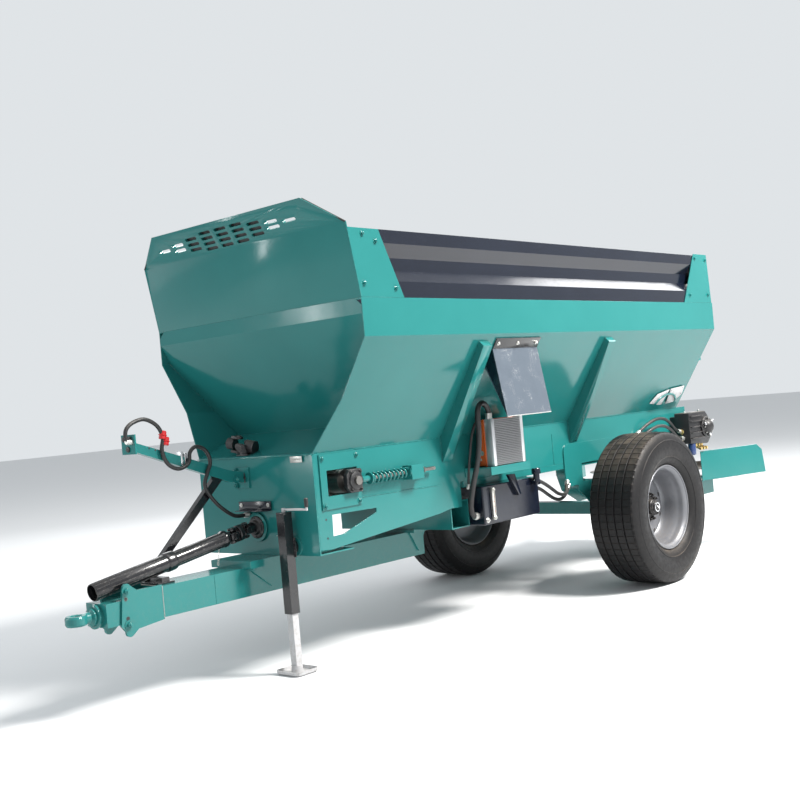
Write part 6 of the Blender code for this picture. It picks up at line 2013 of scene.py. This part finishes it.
def scale_arm():
    """A flat curved arm in the body colour, between the two plates."""
    bm = bmesh.new()
    outer = arc((-0.985, -0.120), 0.175, 10, 165, 16)
    inner = arc((-0.985, -0.120), 0.150, 165, 10, 16)
    plate(bm, [(x, y * 0.62, 0.0150) for x, y in outer + inner], (0, 0, 0.0060), 0.001)
    for x, y in ((-0.815, -0.058), (-1.150, -0.046)):
        rod(bm, (x, y, 0.0010), (x, y, 0.0150), 0.010, 14)
    on_slope(bm)
    piece(bm, "scale_arm", "frame", TEAL)


for part in (scale_plates, scale_marks, scale_arm):
    part()
print("gate scale")

# %% [markdown]
# The deflectors guide the spread. A sheet's free edge is rolled, so each gets two thin hems,
# and bolts hold it and the deck to the frame.

# %% Deflectors and deck
DEFLECTOR_FOOT = (-1.300, 0.646)
DEFLECTOR_RUN = (-0.670, 0.241)
DECK_BOLTS = ((-0.935, 0.760), (-0.935, 0.860), (-1.060, 0.860), (-1.060, 0.760))

for tag, sign in SIDES:
    start = Vector((DEFLECTOR_FOOT[0], sign * DEFLECTOR_FOOT[1], 0))
    span = Vector((DEFLECTOR_RUN[0], sign * DEFLECTOR_RUN[1], 0))
    trim = bmesh.new()
    for z, share, radius in ((0.589, 0.985, 0.0042), (0.8200, 0.890, 0.0036)):
        level = Vector((0, 0, z))
        rod(trim, start + level, start + span * share + level, radius, 8)
    piece(trim, f"deflector_hems_{tag}", "frame", TEAL)
    inset = Vector((0, -sign * 0.040, 0.5885))
    places = [start + span * share + inset for share in (0.10, 0.34, 0.55)]
    bolts(f"deflector_bolts_{tag}", places, (0, 0, 1), ZINC, 0.016)
    places = [(x, sign * (TROUGH_Y + 0.0088), z) for x, z in DECK_BOLTS]
    bolts(f"deck_bolts_{tag}", places, (0, sign, 0), TEAL, 0.018)
print("rear plates")

# %% [markdown]
# Each spreading disc has four vanes. A vane is held by three bolts through a thin foot, and
# all of them turn with the disc. The motors below stay with the frame.

# %% Spreading discs
DISC = (-1.625, 0.300)
VANES = 4
VANE_BOLTS = (0.100, 0.170, 0.240)
UP = Vector((0, 0, 1))
MOTOR_OUTLINE = [(0.0, -0.006), (0.044, -0.006), (0.0565, 0.004), (0.0565, 0.030),
                 (0.0558, 0.034), (0.0565, 0.038), (0.0565, 0.090), (0.0, 0.090)]


def disc_fixings(tag, sign):
    centre = Vector((DISC[0], sign * DISC[1], 0.660))
    bm = bmesh.new()
    rod(bm, centre + UP * 0.036, centre + UP * 0.046, 0.020, 20, chamfer=0.001)
    bolt(bm, centre + UP * 0.044, UP, 0.022)
    for i in range(VANES):
        arm = spoke(math.tau * i / VANES + sign * 0.4, second=ACROSS)
        side = Vector((-arm.y, arm.x, 0))
        for reach in VANE_BOLTS:
            bolt(bm, centre + arm * reach + side * 0.018 + UP * 0.0072, UP, 0.012)
        outline = ((0.070, 0.0032), (0.262, 0.0032), (0.262, 0.030), (0.070, 0.030))
        corners = [centre + arm * reach + side * away + UP * 0.0062 for reach, away in outline]
        plate(bm, corners, UP * 0.0012)
    piece(bm, f"disc_fixings_{tag}", f"disc_{tag}", ZINC)


for tag, sign in SIDES:
    disc_fixings(tag, sign)
motors = bmesh.new()
for side in (-1, 1):
    centre = Vector((DISC[0], side * DISC[1], 0.445))
    turned(motors, MOTOR_OUTLINE, centre, UP, 32)
    for arm in spokes(4, second=ACROSS):
        bolt(motors, centre + arm * 0.040 - UP * 0.005, -UP, 0.012)
piece(motors, "disc_motors", "frame", CAST)
print("discs")

# %% [markdown]
# The gate slides in the rear wall, so its lugs and bolts ride on the gate. The stiffeners
# around it are folded plates that stay with the frame.

# %% Gate fixings and the rear wall's stiffeners
gate_low, gate_high = node_box("rear_gate")
lugs = bmesh.new()
for y in (-0.300, 0.300):
    block(lugs, (gate_low.x - 0.006, y - 0.020, gate_high.z - 0.040),
          (gate_low.x + 0.004, y + 0.020, gate_high.z), 0.001)
for y in (-0.35, -0.12, 0.12, 0.35):
    bolt(lugs, (gate_low.x, y, gate_low.z + 0.050), -AHEAD, 0.016)
piece(lugs, "gate_fixings", "gate", ZINC)
back = bmesh.new()
for y in (-0.700, 0.700):
    block(back, (-1.290, y - 0.030, 1.560), (-1.2616, y + 0.030, 1.960), 0.003)
block(back, (-1.300, -0.620, 1.690), (-1.2616, 0.620, 1.740), 0.004)
piece(back, "rear_wall_stiffeners", "frame", TEAL)
print("gate details")
